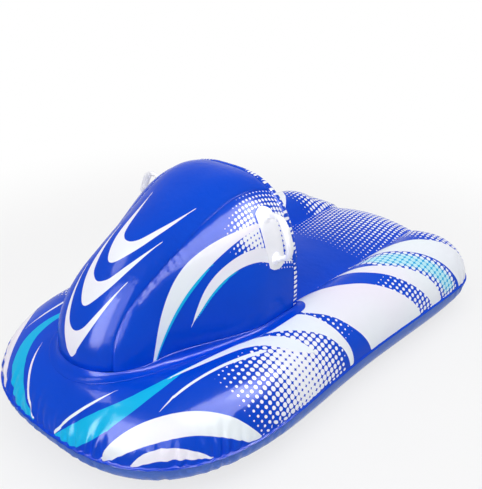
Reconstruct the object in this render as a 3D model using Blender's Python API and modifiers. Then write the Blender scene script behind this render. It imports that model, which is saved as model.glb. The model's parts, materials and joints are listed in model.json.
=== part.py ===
"""Inflatable snow sled in the shape of a snowmobile.

A printed top sheet and a plain bottom sheet are welded round their rim, and two upright webs
inside pull grooves into them, which leaves a side tube each side and a cushion to sit on.
A cowl of four welded panels stands on the deck, on a skirt band, with a moulded grip on a
welded patch on each flank. The base and the cowl are two air chambers, each with its valve.
The nose points along -Y, the left side is +X, +Z is up, and the sled stands on z = 0.
"""

import math

import bmesh
import bpy
from mathutils import Matrix, Vector

# Sled outline, in metres
SLED_LENGTH = 1.50
SLED_WIDTH = 0.84
WAIST_WIDTH_SHARE = 0.9643
NOSE_LENGTH = 0.52
TAIL_LENGTH = 0.22
NOSE_POWER = 2.8
TAIL_POWER = 2.4

# Base chamber
SEAM_HEIGHT = 0.100
TUBE_HEIGHT = 0.233
EDGE_REACH_SHARE = 0.1738
SHEET = 0.0010
SEAM_LIP = 0.005
GAP = 0.0003

# Grooves over the webs, and the seat between them
GROOVE_PLACE_SHARE = 0.1964
GROOVE_REACH = 0.020
GROOVE_DEPTH = 0.055
KEEL_GROOVE_DEPTH = 0.012
SEAT_CROWN = 0.022
GROOVE_START = 0.12
GROOVE_RUN = 0.45
GROOVE_POWER = 2.2
WEB_THICKNESS = 0.0010
WEB_START = 0.33
WEB_MARGIN = 0.0008

# Cowl
COWL_NOSE_GAP = 0.094
COWL_LENGTH = 0.556
COWL_FRONT_WIDTH = 0.292
COWL_WIDTH = 0.476
COWL_NOSE_LENGTH = 0.155
COWL_FLARE_START = 0.14
COWL_FLARE_RUN = 0.31
COWL_NOSE_POWER = 2.1
COWL_HEIGHT = 0.357
COWL_SLOPE = 0.42
COWL_PEAK_PLACE = 0.500
COWL_PEAK_ROUND = 0.075
COWL_SHOULDER = 0.256
COWL_SHOULDER_POWER = 2.4
SECTION_FRONT_POWER = 2.4
SECTION_REAR_POWER = 2.9
SECTION_CHANGE_START = 0.26
SECTION_CHANGE_RUN = 0.27
COWL_BACK_BULGE = 0.055
BACK_POWER = 3.0
CROWN_FRONT_PLACE = 0.043
CROWN_REAR_WIDTH = 0.296
CROWN_DIP = 0.012
PANEL_GAP = 0.0006

# Skirt band between deck and cowl
SKIRT_RISE = 0.008
SKIRT_FLARE = 0.012
SKIRT_DEPTH = 0.090

# Handles
HANDLE_PLACE = 0.489
HANDLE_DROP = 0.135
PATCH_LENGTH = 0.170
PATCH_WIDTH = 0.062
PATCH_THICKNESS = 0.0016
PATCH_CORNER_SHARE = 0.28
FOOT_SPACING = 0.110
FOOT_BASE_RADIUS = 0.0160
FOOT_TOP_RADIUS = 0.0130
BALL_RADIUS = 0.0085
SOCKET_FLOOR = 0.0008
SOCKET_LIP_DROP = 0.0010
GRIP_REACH = 0.044
GRIP_NECK_RADIUS = 0.0065
GRIP_RADIUS = 0.0110
GRIP_POWER = 3.0

# Valves
VALVE_FLANGE_RADIUS = 0.018
VALVE_FLANGE_THICKNESS = 0.0016
VALVE_NECK_RADIUS = 0.0080
VALVE_BORE_RADIUS = 0.0052
VALVE_NECK_HEIGHT = 0.012
VALVE_TAIL_RADIUS = 0.0070
VALVE_TAIL_LENGTH = 0.0050
PLUG_RADIUS = 0.0090
PLUG_THICKNESS = 0.0025
STEM_RADIUS = 0.0042
STEM_TIP_RADIUS = 0.0039
STEM_LENGTH = 0.0040
TETHER_REACH = 0.0125
TETHER_WIDTH = 0.0070
TETHER_THICKNESS = 0.0014
LUG_HEIGHT = 0.0030
FLAP_RADIUS = 0.0064
FLAP_THICKNESS = 0.0008
FLAP_REACH = 0.0084
FLAP_TAB_WIDTH = 0.0040
HOLE_MARGIN = 0.0016
BASE_VALVE_PLACE = 0.92
COWL_VALVE_RISE = 0.150

# Mesh fineness, in counts
INNER_COLUMNS = 2
OUTER_COLUMNS = 3
NOSE_ROWS = 6
SIDE_ROWS = 10
TAIL_ROWS = 4
TOP_RINGS = 7
BOTTOM_RINGS = 6
CROWN_COLUMNS = 10
COWL_ROWS = 16
FLANK_COLUMNS = 10
BACK_RAYS = 16
BACK_RINGS = 6
SECTION_STEPS = 400
PATCH_COLUMNS = 8
PATCH_ROWS = 14
GRIP_STEPS = 26
GRIP_NECK_STEPS = 2
GRIP_ROUND_STEPS = 4
BALL_STEPS = 5
SOCKET_STEPS = 16
TURNED_STEPS = 28

# Cutters and shading
CUT_OVERRUN = 0.020
SHARP_DEGREES = 40

FRONT = -SLED_LENGTH / 2
REAR = SLED_LENGTH / 2
WAIST_WIDTH = SLED_WIDTH * WAIST_WIDTH_SHARE
EDGE_REACH = SLED_WIDTH * EDGE_REACH_SHARE
GROOVE_X = SLED_WIDTH * GROOVE_PLACE_SHARE
COWL_TIP = FRONT + COWL_NOSE_GAP
COWL_REAR = COWL_TIP + COWL_LENGTH
FOOT_HEIGHT = TUBE_HEIGHT + SKIRT_RISE
COLUMNS_A_SIDE = INNER_COLUMNS + 2 + OUTER_COLUMNS
COLUMNS = 2 * COLUMNS_A_SIDE
ROWS = NOSE_ROWS + SIDE_ROWS + TAIL_ROWS

COLOURS = {
    "print_blue": ((0.01, 0.10, 0.72, 1.0), 0.25),
    "plain_blue": ((0.06, 0.13, 0.55, 1.0), 0.30),
    "white_vinyl": ((0.85, 0.85, 0.86, 1.0), 0.35),
    "clear_vinyl": ((0.75, 0.80, 0.88, 1.0), 0.25),
}


def clamp(value):
    return min(1.0, max(0.0, value))


def smooth(value):
    """An S from 0 to 1 as value runs from 0 to 1."""
    held = clamp(value)
    return held * held * (3 - 2 * held)


def lerp(low, high, share):
    return low + (high - low) * share


def superellipse(share, power):
    """Falls from 1 to 0 as share runs from 0 to 1, along a quarter of a superellipse."""
    return max(0.0, 1.0 - abs(share) ** power) ** (1.0 / power)


def arc_pair(angle, power):
    """The two shares, sideways and lengthways, of a superellipse's quarter at an angle."""
    across, along = max(0.0, math.sin(angle)), max(0.0, math.cos(angle))
    return across ** (2 / power), along ** (2 / power)


# Outline of the base, seen from above


def side_half_width(y):
    """Half width of the straight stretch, which is narrower at the waist."""
    from_waist = clamp(abs(y) / (SLED_LENGTH / 2 - TAIL_LENGTH))
    return lerp(WAIST_WIDTH, SLED_WIDTH, smooth(from_waist)) / 2


def side_loop(inset):
    """Points down the left side of the outline, from the nose's corner to the tail's, set in by inset."""
    points = []
    nose, tail = NOSE_LENGTH - inset, TAIL_LENGTH - inset
    for row in range(NOSE_ROWS):
        across, along = arc_pair(math.pi / 4 * (1 + row / NOSE_ROWS), NOSE_POWER)
        y = FRONT + inset + nose * (1 - along)
        points.append(((side_half_width(y) - inset) * across, y))
    for row in range(SIDE_ROWS + 1):
        y = lerp(FRONT + NOSE_LENGTH, REAR - TAIL_LENGTH, row / SIDE_ROWS)
        points.append((side_half_width(y) - inset, y))
    for row in range(1, TAIL_ROWS + 1):
        across, along = arc_pair(math.pi / 4 * (2 - row / TAIL_ROWS), TAIL_POWER)
        y = REAR - inset - tail * (1 - along)
        points.append(((side_half_width(y) - inset) * across, y))
    return points


def column_x(column, side_x):
    """Sideways place of a column of the sheets, on the left side; the grooves have their own column."""
    inner = GROOVE_X - GROOVE_REACH
    if column <= INNER_COLUMNS:
        return inner * column / INNER_COLUMNS
    if column <= INNER_COLUMNS + 2:
        return inner + GROOVE_REACH * (column - INNER_COLUMNS)
    share = (column - INNER_COLUMNS - 2) / OUTER_COLUMNS
    return lerp(GROOVE_X + GROOVE_REACH, side_x, share)


def end_y(x, inset, is_nose):
    """Where the nose's or the tail's rounded end lies at a sideways place."""
    half = SLED_WIDTH / 2 - inset
    if is_nose:
        nose = NOSE_LENGTH - inset
        return FRONT + inset + nose * (1 - superellipse(clamp(abs(x) / half), NOSE_POWER))
    tail = TAIL_LENGTH - inset
    return REAR - inset - tail * (1 - superellipse(clamp(abs(x) / half), TAIL_POWER))


def core_point(column, row):
    """Place of a point of the sheets' inner field, with columns counted from the centre line."""
    side = side_loop(EDGE_REACH)
    left = abs(column)
    x, y = column_x(left, side[row][0]), side[row][1]
    if left < COLUMNS_A_SIDE:
        first, last = side[0], side[-1]
        front = end_y(column_x(left, first[0]), EDGE_REACH, True)
        rear = end_y(column_x(left, last[0]), EDGE_REACH, False)
        y = lerp(front, rear, (y - first[1]) / (last[1] - first[1]))
    return math.copysign(x, column), y


def rim_point(column, row, inset):
    """Place of a point of a ring, found from where its spoke leaves the inner field."""
    side = side_loop(inset)
    left = abs(column)
    if left == COLUMNS_A_SIDE:
        x, y = side[row]
    else:
        corner = side[0] if row == 0 else side[-1]
        x = column_x(left, corner[0])
        y = end_y(x, inset, row == 0)
    return math.copysign(x, column), y


# Height of the deck


def groove_share(y):
    """How much of the grooves' depth there is: none at the nose, all of it along the seat."""
    return smooth((y - FRONT - GROOVE_START) / GROOVE_RUN)


def deck_height(x, y):
    """Outer height of the deck, away from its rounded edge."""
    across = abs(x)
    share = groove_share(y)
    depth = GROOVE_DEPTH * share
    if across < GROOVE_X:
        crown = SEAT_CROWN * share * (1 - (across / GROOVE_X) ** 2)
        return TUBE_HEIGHT - depth + crown
    crest = side_half_width(y) - EDGE_REACH
    up = clamp((across - GROOVE_X) / (crest - GROOVE_X))
    return TUBE_HEIGHT - depth * (1 - up) ** GROOVE_POWER


def keel_height(x, y):
    """Outer height of the bottom sheet: flat on the snow, but for a shallow groove under each web."""
    off = abs(abs(x) - GROOVE_X) / GROOVE_REACH
    return KEEL_GROOVE_DEPTH * groove_share(y) * max(0.0, 1 - off)


# Making objects


def clear_scene():
    for obj in list(bpy.data.objects):
        bpy.data.objects.remove(obj, do_unlink=True)


def new_collection(name):
    collection = bpy.data.collections.new(name)
    bpy.context.scene.collection.children.link(collection)
    return collection


def material(name):
    found = bpy.data.materials.get(name)
    if found:
        return found
    colour, roughness = COLOURS[name]
    made = bpy.data.materials.new(name)
    made.use_nodes = True
    shader = made.node_tree.nodes["Principled BSDF"]
    shader.inputs["Base Color"].default_value = colour
    shader.inputs["Roughness"].default_value = roughness
    shader.inputs["Metallic"].default_value = 0.0
    made.diffuse_color = colour
    return made


def object_from(bm, name, finish, parent=None):
    mesh = bpy.data.meshes.new(name)
    bm.to_mesh(mesh)
    bm.free()
    mesh.shade_smooth()
    mesh.set_sharp_from_angle(angle=math.radians(SHARP_DEGREES))
    obj = bpy.data.objects.new(name, mesh)
    parts.objects.link(obj)
    if finish:
        mesh.materials.append(material(finish))
    if parent:
        obj.parent = parent
    return obj


def make_cutter(obj):
    """Takes an object out of the sled and keeps it as a hidden cutter."""
    parts.objects.unlink(obj)
    cutters.objects.link(obj)
    obj.hide_render = True
    obj.display_type = "WIRE"
    return obj


def thicken(obj, thickness, offset=-1.0):
    solid = obj.modifiers.new("thickness", "SOLIDIFY")
    solid.thickness = thickness
    solid.offset = offset
    solid.use_even_offset = True
    solid.use_quality_normals = True


def cut(obj, cutter):
    boolean = obj.modifiers.new("cut", "BOOLEAN")
    boolean.operation = "DIFFERENCE"
    boolean.object = cutter


def join(obj, other):
    boolean = obj.modifiers.new("join", "BOOLEAN")
    boolean.operation = "UNION"
    boolean.object = make_cutter(other)


def turn_outward(bm, outward):
    """Makes an open surface's faces agree, and the first of them point along outward."""
    bmesh.ops.recalc_face_normals(bm, faces=bm.faces)
    bm.faces.ensure_lookup_table()
    facing = sum((face.normal * face.calc_area() for face in bm.faces), Vector())
    if facing.dot(outward) < 0:
        bmesh.ops.reverse_faces(bm, faces=bm.faces)


def shaped_grid(columns, rows, place):
    """A grid whose points are put where place(column, row) says."""
    bm = bmesh.new()
    bmesh.ops.create_grid(bm, x_segments=columns, y_segments=rows, size=1.0)
    for vert in bm.verts:
        column = round((vert.co.x + 1) / 2 * columns)
        row = round((vert.co.y + 1) / 2 * rows)
        vert.co = place(column, row)
    bmesh.ops.remove_doubles(bm, verts=bm.verts, dist=GAP / 10)
    return bm


def add_rings(bm, columns, rows, count, place):
    """Grows rings outward from a grid's rim; place(column, row, ring) says where each point goes."""
    column_of = bm.verts.layers.int.new("column")
    row_of = bm.verts.layers.int.new("row")
    order = sorted(bm.verts, key=lambda vert: vert.index)
    for number, vert in enumerate(order):
        vert[column_of] = number % (columns + 1)
        vert[row_of] = number // (columns + 1)
    rim = [edge for edge in bm.edges if edge.is_boundary]
    for ring in range(1, count + 1):
        made = bmesh.ops.extrude_edge_only(bm, edges=rim)["geom"]
        for vert in (item for item in made if isinstance(item, bmesh.types.BMVert)):
            vert.co = place(vert[column_of], vert[row_of], ring)
        rim = [item for item in made if isinstance(item, bmesh.types.BMEdge) and item.is_boundary]


def turned(name, profile, finish, parent=None):
    """A turned piece from a closed profile of (radius, height) that runs down its outer side."""
    bm = bmesh.new()
    verts = [bm.verts.new((radius, 0.0, height)) for radius, height in profile]
    for first, second in zip(verts, verts[1:] + verts[:1]):
        if max(first.co.x, second.co.x) > 0:
            bm.edges.new((first, second))
    obj = object_from(bm, name, finish, parent)
    screw = obj.modifiers.new("turn", "SCREW")
    screw.steps = screw.render_steps = TURNED_STEPS
    screw.use_merge_vertices = True
    screw.merge_threshold = GAP / 10
    return obj


def box(name, size, centre, finish=None, parent=None):
    bm = bmesh.new()
    bmesh.ops.create_cube(bm, size=1.0)
    bmesh.ops.scale(bm, vec=size, verts=bm.verts)
    bmesh.ops.translate(bm, vec=centre, verts=bm.verts)
    return object_from(bm, name, finish, parent)


def cone(name, base_radius, top_radius, height, finish=None, parent=None):
    bm = bmesh.new()
    bmesh.ops.create_cone(
        bm,
        cap_ends=True,
        segments=TURNED_STEPS,
        radius1=base_radius,
        radius2=top_radius,
        depth=height,
    )
    return object_from(bm, name, finish, parent)


def ball(name, radius):
    bm = bmesh.new()
    bmesh.ops.create_uvsphere(bm, u_segments=SOCKET_STEPS, v_segments=SOCKET_STEPS // 2, radius=radius)
    return object_from(bm, name, None)


def standing(place, along, out):
    """A matrix at a place, with its X along one direction and its Z out along another."""
    return Matrix.Translation(place) @ Matrix((along, out.cross(along), out)).transposed().to_4x4()


def empty(name, matrix, parent=None):
    obj = bpy.data.objects.new(name, None)
    parts.objects.link(obj)
    obj.parent = parent
    obj.matrix_local = matrix
    return obj


# Base chamber


def sheet_surface(rings, height, lip_height):
    """The skin from the inner field over the rounded edge to the welded lip.

    height(x, y) is the field's outer height, and lip_height is where the lip's outer face lies.
    """

    def field_place(column, row):
        x, y = core_point(column - COLUMNS_A_SIDE, row)
        return Vector((x, y, height(x, y)))

    def ring_place(column, row, ring):
        if ring > rings:
            x, y = rim_point(column - COLUMNS_A_SIDE, row, -SEAM_LIP)
            return Vector((x, y, lip_height))
        angle = math.pi / 2 * (1 - ring / rings)
        inset = EDGE_REACH * (1 - math.cos(angle))
        x, y = rim_point(column - COLUMNS_A_SIDE, row, inset)
        inner_x, inner_y = core_point(column - COLUMNS_A_SIDE, row)
        full = height(math.copysign(min(abs(x), abs(inner_x)), x), inner_y)
        return Vector((x, y, lerp(lip_height, full, math.sin(angle))))

    bm = shaped_grid(COLUMNS, ROWS, field_place)
    add_rings(bm, COLUMNS, ROWS, rings + 1, ring_place)
    return bm


def build_top_sheet():
    lip_height = SEAM_HEIGHT + GAP / 2 + SHEET
    bm = sheet_surface(TOP_RINGS, deck_height, lip_height)
    turn_outward(bm, Vector((0, 0, 1)))
    obj = object_from(bm, "top_sheet", "print_blue")
    thicken(obj, SHEET)
    return obj


def build_bottom_sheet():
    lip_height = SEAM_HEIGHT - GAP / 2 - SHEET
    bm = sheet_surface(BOTTOM_RINGS, keel_height, lip_height)
    turn_outward(bm, Vector((0, 0, -1)))
    obj = object_from(bm, "bottom_sheet", "plain_blue")
    thicken(obj, SHEET)
    return obj


def build_web(name, side):
    """An upright strip inside the base that ties the top sheet to the bottom one along a groove."""
    column = INNER_COLUMNS + 1
    rows = [row for row in range(ROWS + 1) if core_point(column, row)[1] > FRONT + WEB_START]
    clearance = SHEET + WEB_MARGIN

    def place(step, level):
        x, y = core_point(side * column, rows[step])
        low, high = keel_height(x, y) + clearance, deck_height(x, y) - clearance
        return Vector((x, y, lerp(low, high, level)))

    bm = shaped_grid(len(rows) - 1, 1, place)
    obj = object_from(bm, name, "clear_vinyl")
    thicken(obj, WEB_THICKNESS, 0.0)
    return obj


# Cowl


def cowl_half_width(y):
    """Half width of the cowl's foot at a lengthways place."""
    flare = smooth((y - COWL_TIP - COWL_FLARE_START) / COWL_FLARE_RUN)
    side = lerp(COWL_FRONT_WIDTH, COWL_WIDTH, flare) / 2
    into_nose = clamp(1 - (y - COWL_TIP) / COWL_NOSE_LENGTH)
    return side * superellipse(into_nose, COWL_NOSE_POWER)


def cowl_crest(y):
    """Height of the cowl's ridge over its foot: a ramp to the peak, rounded off at the nose."""
    from_peak = y - COWL_TIP - COWL_PEAK_PLACE
    ramp = COWL_HEIGHT - COWL_SLOPE * (math.hypot(from_peak, COWL_PEAK_ROUND) - COWL_PEAK_ROUND)
    into_nose = clamp(1 - (y - COWL_TIP) / COWL_SHOULDER)
    return ramp * superellipse(into_nose, COWL_SHOULDER_POWER)


def section_power(y):
    """How square the cowl's section is: rounder at the nose and fuller at the back."""
    change = smooth((y - COWL_TIP - SECTION_CHANGE_START) / SECTION_CHANGE_RUN)
    return lerp(SECTION_FRONT_POWER, SECTION_REAR_POWER, change)


def cowl_height(x, y):
    """Outer height of the cowl at a place inside its foot."""
    half = cowl_half_width(y)
    share = clamp(abs(x) / half) if half > 0 else 1.0
    return FOOT_HEIGHT + cowl_crest(y) * superellipse(share, section_power(y))


def cowl_section(y, angle):
    """A point of the cowl's left flank: angle 0 is the foot, and a right angle is the ridge."""
    across, up = arc_pair(math.pi / 2 - angle, section_power(y))
    return Vector((cowl_half_width(y) * across, y, FOOT_HEIGHT + cowl_crest(y) * up))


def crown_half_width(y):
    """Half width of the crown panel: from the foot's corner in to a waist and out again."""
    corner = COWL_TIP + CROWN_FRONT_PLACE
    share = clamp((y - corner) / (COWL_REAR - corner))
    plain = lerp(cowl_half_width(corner), CROWN_REAR_WIDTH / 2, share)
    return plain - CROWN_DIP * 4 * share * (1 - share)


def seam_angle(y):
    """Where on the flank's section the crown's seam runs."""
    share = clamp(crown_half_width(y) / cowl_half_width(y))
    return math.acos(share ** (section_power(y) / 2))


def row_share(row):
    """Lengthways share of a row of the cowl, closer together at the steep nose."""
    return 1 - math.cos(math.pi / 2 * row / COWL_ROWS)


def flank_y(row):
    return lerp(COWL_TIP + CROWN_FRONT_PLACE, COWL_REAR, row_share(row))


def crown_front_y(x):
    """The foot's rounded front edge."""
    share = clamp(abs(x) / (COWL_FRONT_WIDTH / 2))
    return COWL_TIP + COWL_NOSE_LENGTH * (1 - superellipse(share, COWL_NOSE_POWER))


def crown_place(column, row):
    share = 2 * column / CROWN_COLUMNS - 1
    corner = cowl_half_width(COWL_TIP + CROWN_FRONT_PLACE)
    front = crown_front_y(share * corner)
    y = lerp(front, COWL_REAR, row_share(row))
    x = share * (crown_half_width(flank_y(row)) - PANEL_GAP / 2)
    return Vector((x, y, cowl_height(x, y) if row else FOOT_HEIGHT))


def build_crown():
    bm = shaped_grid(CROWN_COLUMNS, COWL_ROWS, crown_place)
    turn_outward(bm, Vector((0, 0, 1)))
    obj = object_from(bm, "cowl_crown_panel", "print_blue")
    thicken(obj, SHEET)
    return obj


def build_flank(name, side):
    """A side panel, from its point at the nose back to the cowl's rear seam."""

    def place(column, row):
        y = flank_y(row)
        top = seam_angle(y)
        point = cowl_section(y, top * (1 - column / FLANK_COLUMNS))
        slack = PANEL_GAP / 2 * (1 - column / FLANK_COLUMNS)
        return Vector((side * (point.x + slack), point.y, point.z))

    bm = shaped_grid(FLANK_COLUMNS, COWL_ROWS, place)
    turn_outward(bm, Vector((side, 0, 0)))
    obj = object_from(bm, name, "print_blue")
    thicken(obj, SHEET)
    return obj


def back_point(angle, share):
    """A point of the bulged back panel: angle goes round from the left foot, share out from the middle."""
    rim = cowl_section(COWL_REAR, min(angle, math.pi - angle))
    x = math.copysign(rim.x, math.cos(angle)) * share
    z = lerp(FOOT_HEIGHT, rim.z, share)
    y = COWL_REAR + GAP + COWL_BACK_BULGE * superellipse(share, BACK_POWER)
    return Vector((x, y, z))


def build_back():
    """The bulged panel that faces the rider."""

    def place(column, row):
        return back_point(math.pi * column / BACK_RAYS, math.sin(math.pi / 2 * row / BACK_RINGS))

    bm = shaped_grid(BACK_RAYS, BACK_RINGS, place)
    turn_outward(bm, Vector((0, 1, 0)))
    obj = object_from(bm, "cowl_back_panel", "print_blue")
    thicken(obj, SHEET, 1.0)
    return obj


def foot_loop():
    """The cowl's foot seen from above, from the front corner round the left side, back and nose."""
    left = [Vector((cowl_half_width(flank_y(row)), flank_y(row))) for row in range(COWL_ROWS + 1)]
    back = []
    for ring in range(BACK_RINGS - 1, -1, -1):
        point = back_point(0.0, math.sin(math.pi / 2 * ring / BACK_RINGS))
        back.append(Vector((point.x, point.y)))
    nose = []
    for column in range(CROWN_COLUMNS // 2 + 1, CROWN_COLUMNS):
        point = crown_place(column, 0)
        nose.append(Vector((point.x, point.y)))
    tip = Vector((0.0, COWL_TIP))
    half = nose + left + back[:-1]
    middle = back[-1]
    mirrored = [Vector((-point.x, point.y)) for point in reversed(half)]
    return [tip] + half + [middle] + mirrored


def build_skirt(deck_cutter):
    """The welded band that joins the cowl's foot to the deck, cut to the deck's own shape."""
    loop = foot_loop()
    count = len(loop)

    def outward(number):
        along = loop[(number + 1) % count] - loop[number - 1]
        return Vector((along.y, -along.x)).normalized()

    bm = bmesh.new()
    bmesh.ops.create_circle(bm, segments=count, radius=1.0)
    ring = sorted(bm.verts, key=lambda vert: vert.index)
    for number, vert in enumerate(ring):
        vert.co = Vector((loop[number].x, loop[number].y, FOOT_HEIGHT - PANEL_GAP))
    made = bmesh.ops.extrude_edge_only(bm, edges=bm.edges[:])["geom"]
    low = [item for item in made if isinstance(item, bmesh.types.BMVert)]
    slant = SKIRT_FLARE / (SKIRT_RISE + SKIRT_FLARE)
    for vert in low:
        number = min(range(count), key=lambda n: (loop[n] - vert.co.xy).length)
        spread = outward(number) * slant * SKIRT_DEPTH
        vert.co += Vector((spread.x, spread.y, -SKIRT_DEPTH))
    bmesh.ops.recalc_face_normals(bm, faces=bm.faces)
    sample = bm.faces[:][0]
    if sample.normal.xy.dot(sample.calc_center_median().xy - Vector((0, COWL_TIP / 2))) < 0:
        bmesh.ops.reverse_faces(bm, faces=bm.faces)
    obj = object_from(bm, "cowl_skirt_band", "print_blue")
    thicken(obj, SHEET)
    cut(obj, deck_cutter)
    return obj


def deck_solid():
    """The space under the deck's outer face, a little proud of it, for cutting what stands on the deck."""
    bm = sheet_surface(TOP_RINGS, deck_height, SEAM_HEIGHT)
    bmesh.ops.translate(bm, vec=(0, 0, GAP), verts=bm.verts)
    turn_outward(bm, Vector((0, 0, 1)))
    skin = bm.faces[:]
    made = bmesh.ops.extrude_face_region(bm, geom=skin, use_keep_orig=True)["geom"]
    low = [item for item in made if isinstance(item, bmesh.types.BMVert)]
    bmesh.ops.translate(bm, vec=(0, 0, -SKIRT_DEPTH), verts=low)
    bmesh.ops.recalc_face_normals(bm, faces=bm.faces)
    return make_cutter(object_from(bm, "deck_cutter", None))


# Handles


def flank_walk(y):
    """Points down the left flank's section at y, and how far each is from the ridge."""
    points = [cowl_section(y, math.pi / 2 * (1 - n / SECTION_STEPS)) for n in range(SECTION_STEPS + 1)]
    travelled = [0.0]
    for first, second in zip(points, points[1:]):
        travelled.append(travelled[-1] + (second - first).length)
    return points, travelled


def flank_point(y, drop):
    """The flank's point that lies a given way down its section from the crown's seam."""
    points, travelled = flank_walk(y)
    seam = round(SECTION_STEPS * (1 - seam_angle(y) / (math.pi / 2)))
    goal = travelled[seam] + drop
    after = next(number for number, gone in enumerate(travelled) if gone > goal)
    share = (goal - travelled[after - 1]) / (travelled[after] - travelled[after - 1])
    return points[after - 1].lerp(points[after], share)


def flank_normal(y, drop):
    """Outward direction of the section there."""
    step = PATCH_THICKNESS
    down = flank_point(y, drop + step) - flank_point(y, drop - step)
    return Vector((-down.z, 0, down.x)).normalized()


def to_side(vector, side):
    return Vector((side * vector.x, vector.y, vector.z))


def handle_place():
    """Ball centres of a left handle, upper and lower, with the flank's direction at each."""
    y = COWL_TIP + HANDLE_PLACE
    rise = GAP + PATCH_THICKNESS + SOCKET_FLOOR + GAP + BALL_RADIUS
    places = []
    for drop in (HANDLE_DROP - FOOT_SPACING / 2, HANDLE_DROP + FOOT_SPACING / 2):
        normal = flank_normal(y, drop)
        places.append((flank_point(y, drop) + normal * rise, normal))
    return places


def build_patch(name, side):
    """The welded oblong that spreads a handle's pull, with a socketed foot near each end."""
    y = COWL_TIP + HANDLE_PLACE

    def place(column, row):
        u, v = 2 * column / PATCH_COLUMNS - 1, 2 * row / PATCH_ROWS - 1
        across = PATCH_WIDTH / 2 * u * math.sqrt(1 - PATCH_CORNER_SHARE * v * v)
        along = PATCH_LENGTH / 2 * v * math.sqrt(1 - PATCH_CORNER_SHARE * u * u)
        point = flank_point(y + across, HANDLE_DROP + along)
        return to_side(point + flank_normal(y + across, HANDLE_DROP + along) * GAP, side)

    bm = shaped_grid(PATCH_COLUMNS, PATCH_ROWS, place)
    turn_outward(bm, Vector((side, 0, 0)))
    patch = object_from(bm, name, "white_vinyl")
    thicken(patch, PATCH_THICKNESS, 1.0)
    for number, (centre, normal) in enumerate(handle_place()):
        centre, normal = to_side(centre, side), to_side(normal, side)
        floor = SOCKET_FLOOR + GAP + BALL_RADIUS
        height = floor - SOCKET_LIP_DROP + PATCH_THICKNESS - GAP
        foot = cone(name + "_foot_" + str(number), FOOT_BASE_RADIUS, FOOT_TOP_RADIUS, height)
        foot_middle = centre - normal * (SOCKET_LIP_DROP + height / 2)
        foot.matrix_world = standing(foot_middle, Vector((0, 1, 0)), normal)
        join(patch, foot)
    for number, (centre, normal) in enumerate(handle_place()):
        socket = ball(name + "_socket_" + str(number), BALL_RADIUS + GAP)
        socket.matrix_world = Matrix.Translation(to_side(centre, side))
        cut(patch, make_cutter(socket))


def build_grip(name, side):
    """The bowed bar, thick in the middle, with a ball at each end that turns in the patch's feet."""
    (upper, _), (lower, _) = handle_place()
    upper, lower = to_side(upper, side), to_side(lower, side)
    along = (upper - lower).normalized()
    out = along.cross(Vector((0, -side, 0))).normalized()
    middle, half = (upper + lower) / 2, (upper - lower).length / 2
    pivot = empty(name + "_axis", standing(middle, along, out))
    route = []
    for step in range(BALL_STEPS):
        angle = math.pi / 2 * (1 - (step + 1) / (BALL_STEPS + 1))
        route.append((-half, -BALL_RADIUS * math.sin(angle), BALL_RADIUS * math.cos(angle)))
    rise = math.sqrt(BALL_RADIUS ** 2 - GRIP_NECK_RADIUS ** 2)
    for step in range(GRIP_NECK_STEPS + 1):
        height = rise * step / GRIP_NECK_STEPS
        route.append((-half, height, math.sqrt(BALL_RADIUS ** 2 - height ** 2)))
    for step in range(1, GRIP_STEPS // 2 + 1):
        turn = math.pi / 2 * step / (GRIP_STEPS // 2)
        up, inward = arc_pair(turn, GRIP_POWER)
        radius = lerp(GRIP_NECK_RADIUS, GRIP_RADIUS, smooth(turn / (math.pi / 2)))
        route.append((-half * inward, rise + (GRIP_REACH - rise) * up, radius))
    route += [(-x, z, radius) for x, z, radius in reversed(route[:-1])]
    curve = bpy.data.curves.new(name, "CURVE")
    curve.dimensions = "3D"
    curve.bevel_depth = 1.0
    curve.bevel_resolution = GRIP_ROUND_STEPS
    curve.use_fill_caps = True
    spline = curve.splines.new("POLY")
    spline.points.add(len(route) - 1)
    for point, (x, z, radius) in zip(spline.points, route):
        point.co = (x, 0.0, z, 1.0)
        point.radius = radius
    curve.materials.append(material("white_vinyl"))
    grip = bpy.data.objects.new(name, curve)
    parts.objects.link(grip)
    grip.parent = pivot


# Valves


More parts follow.
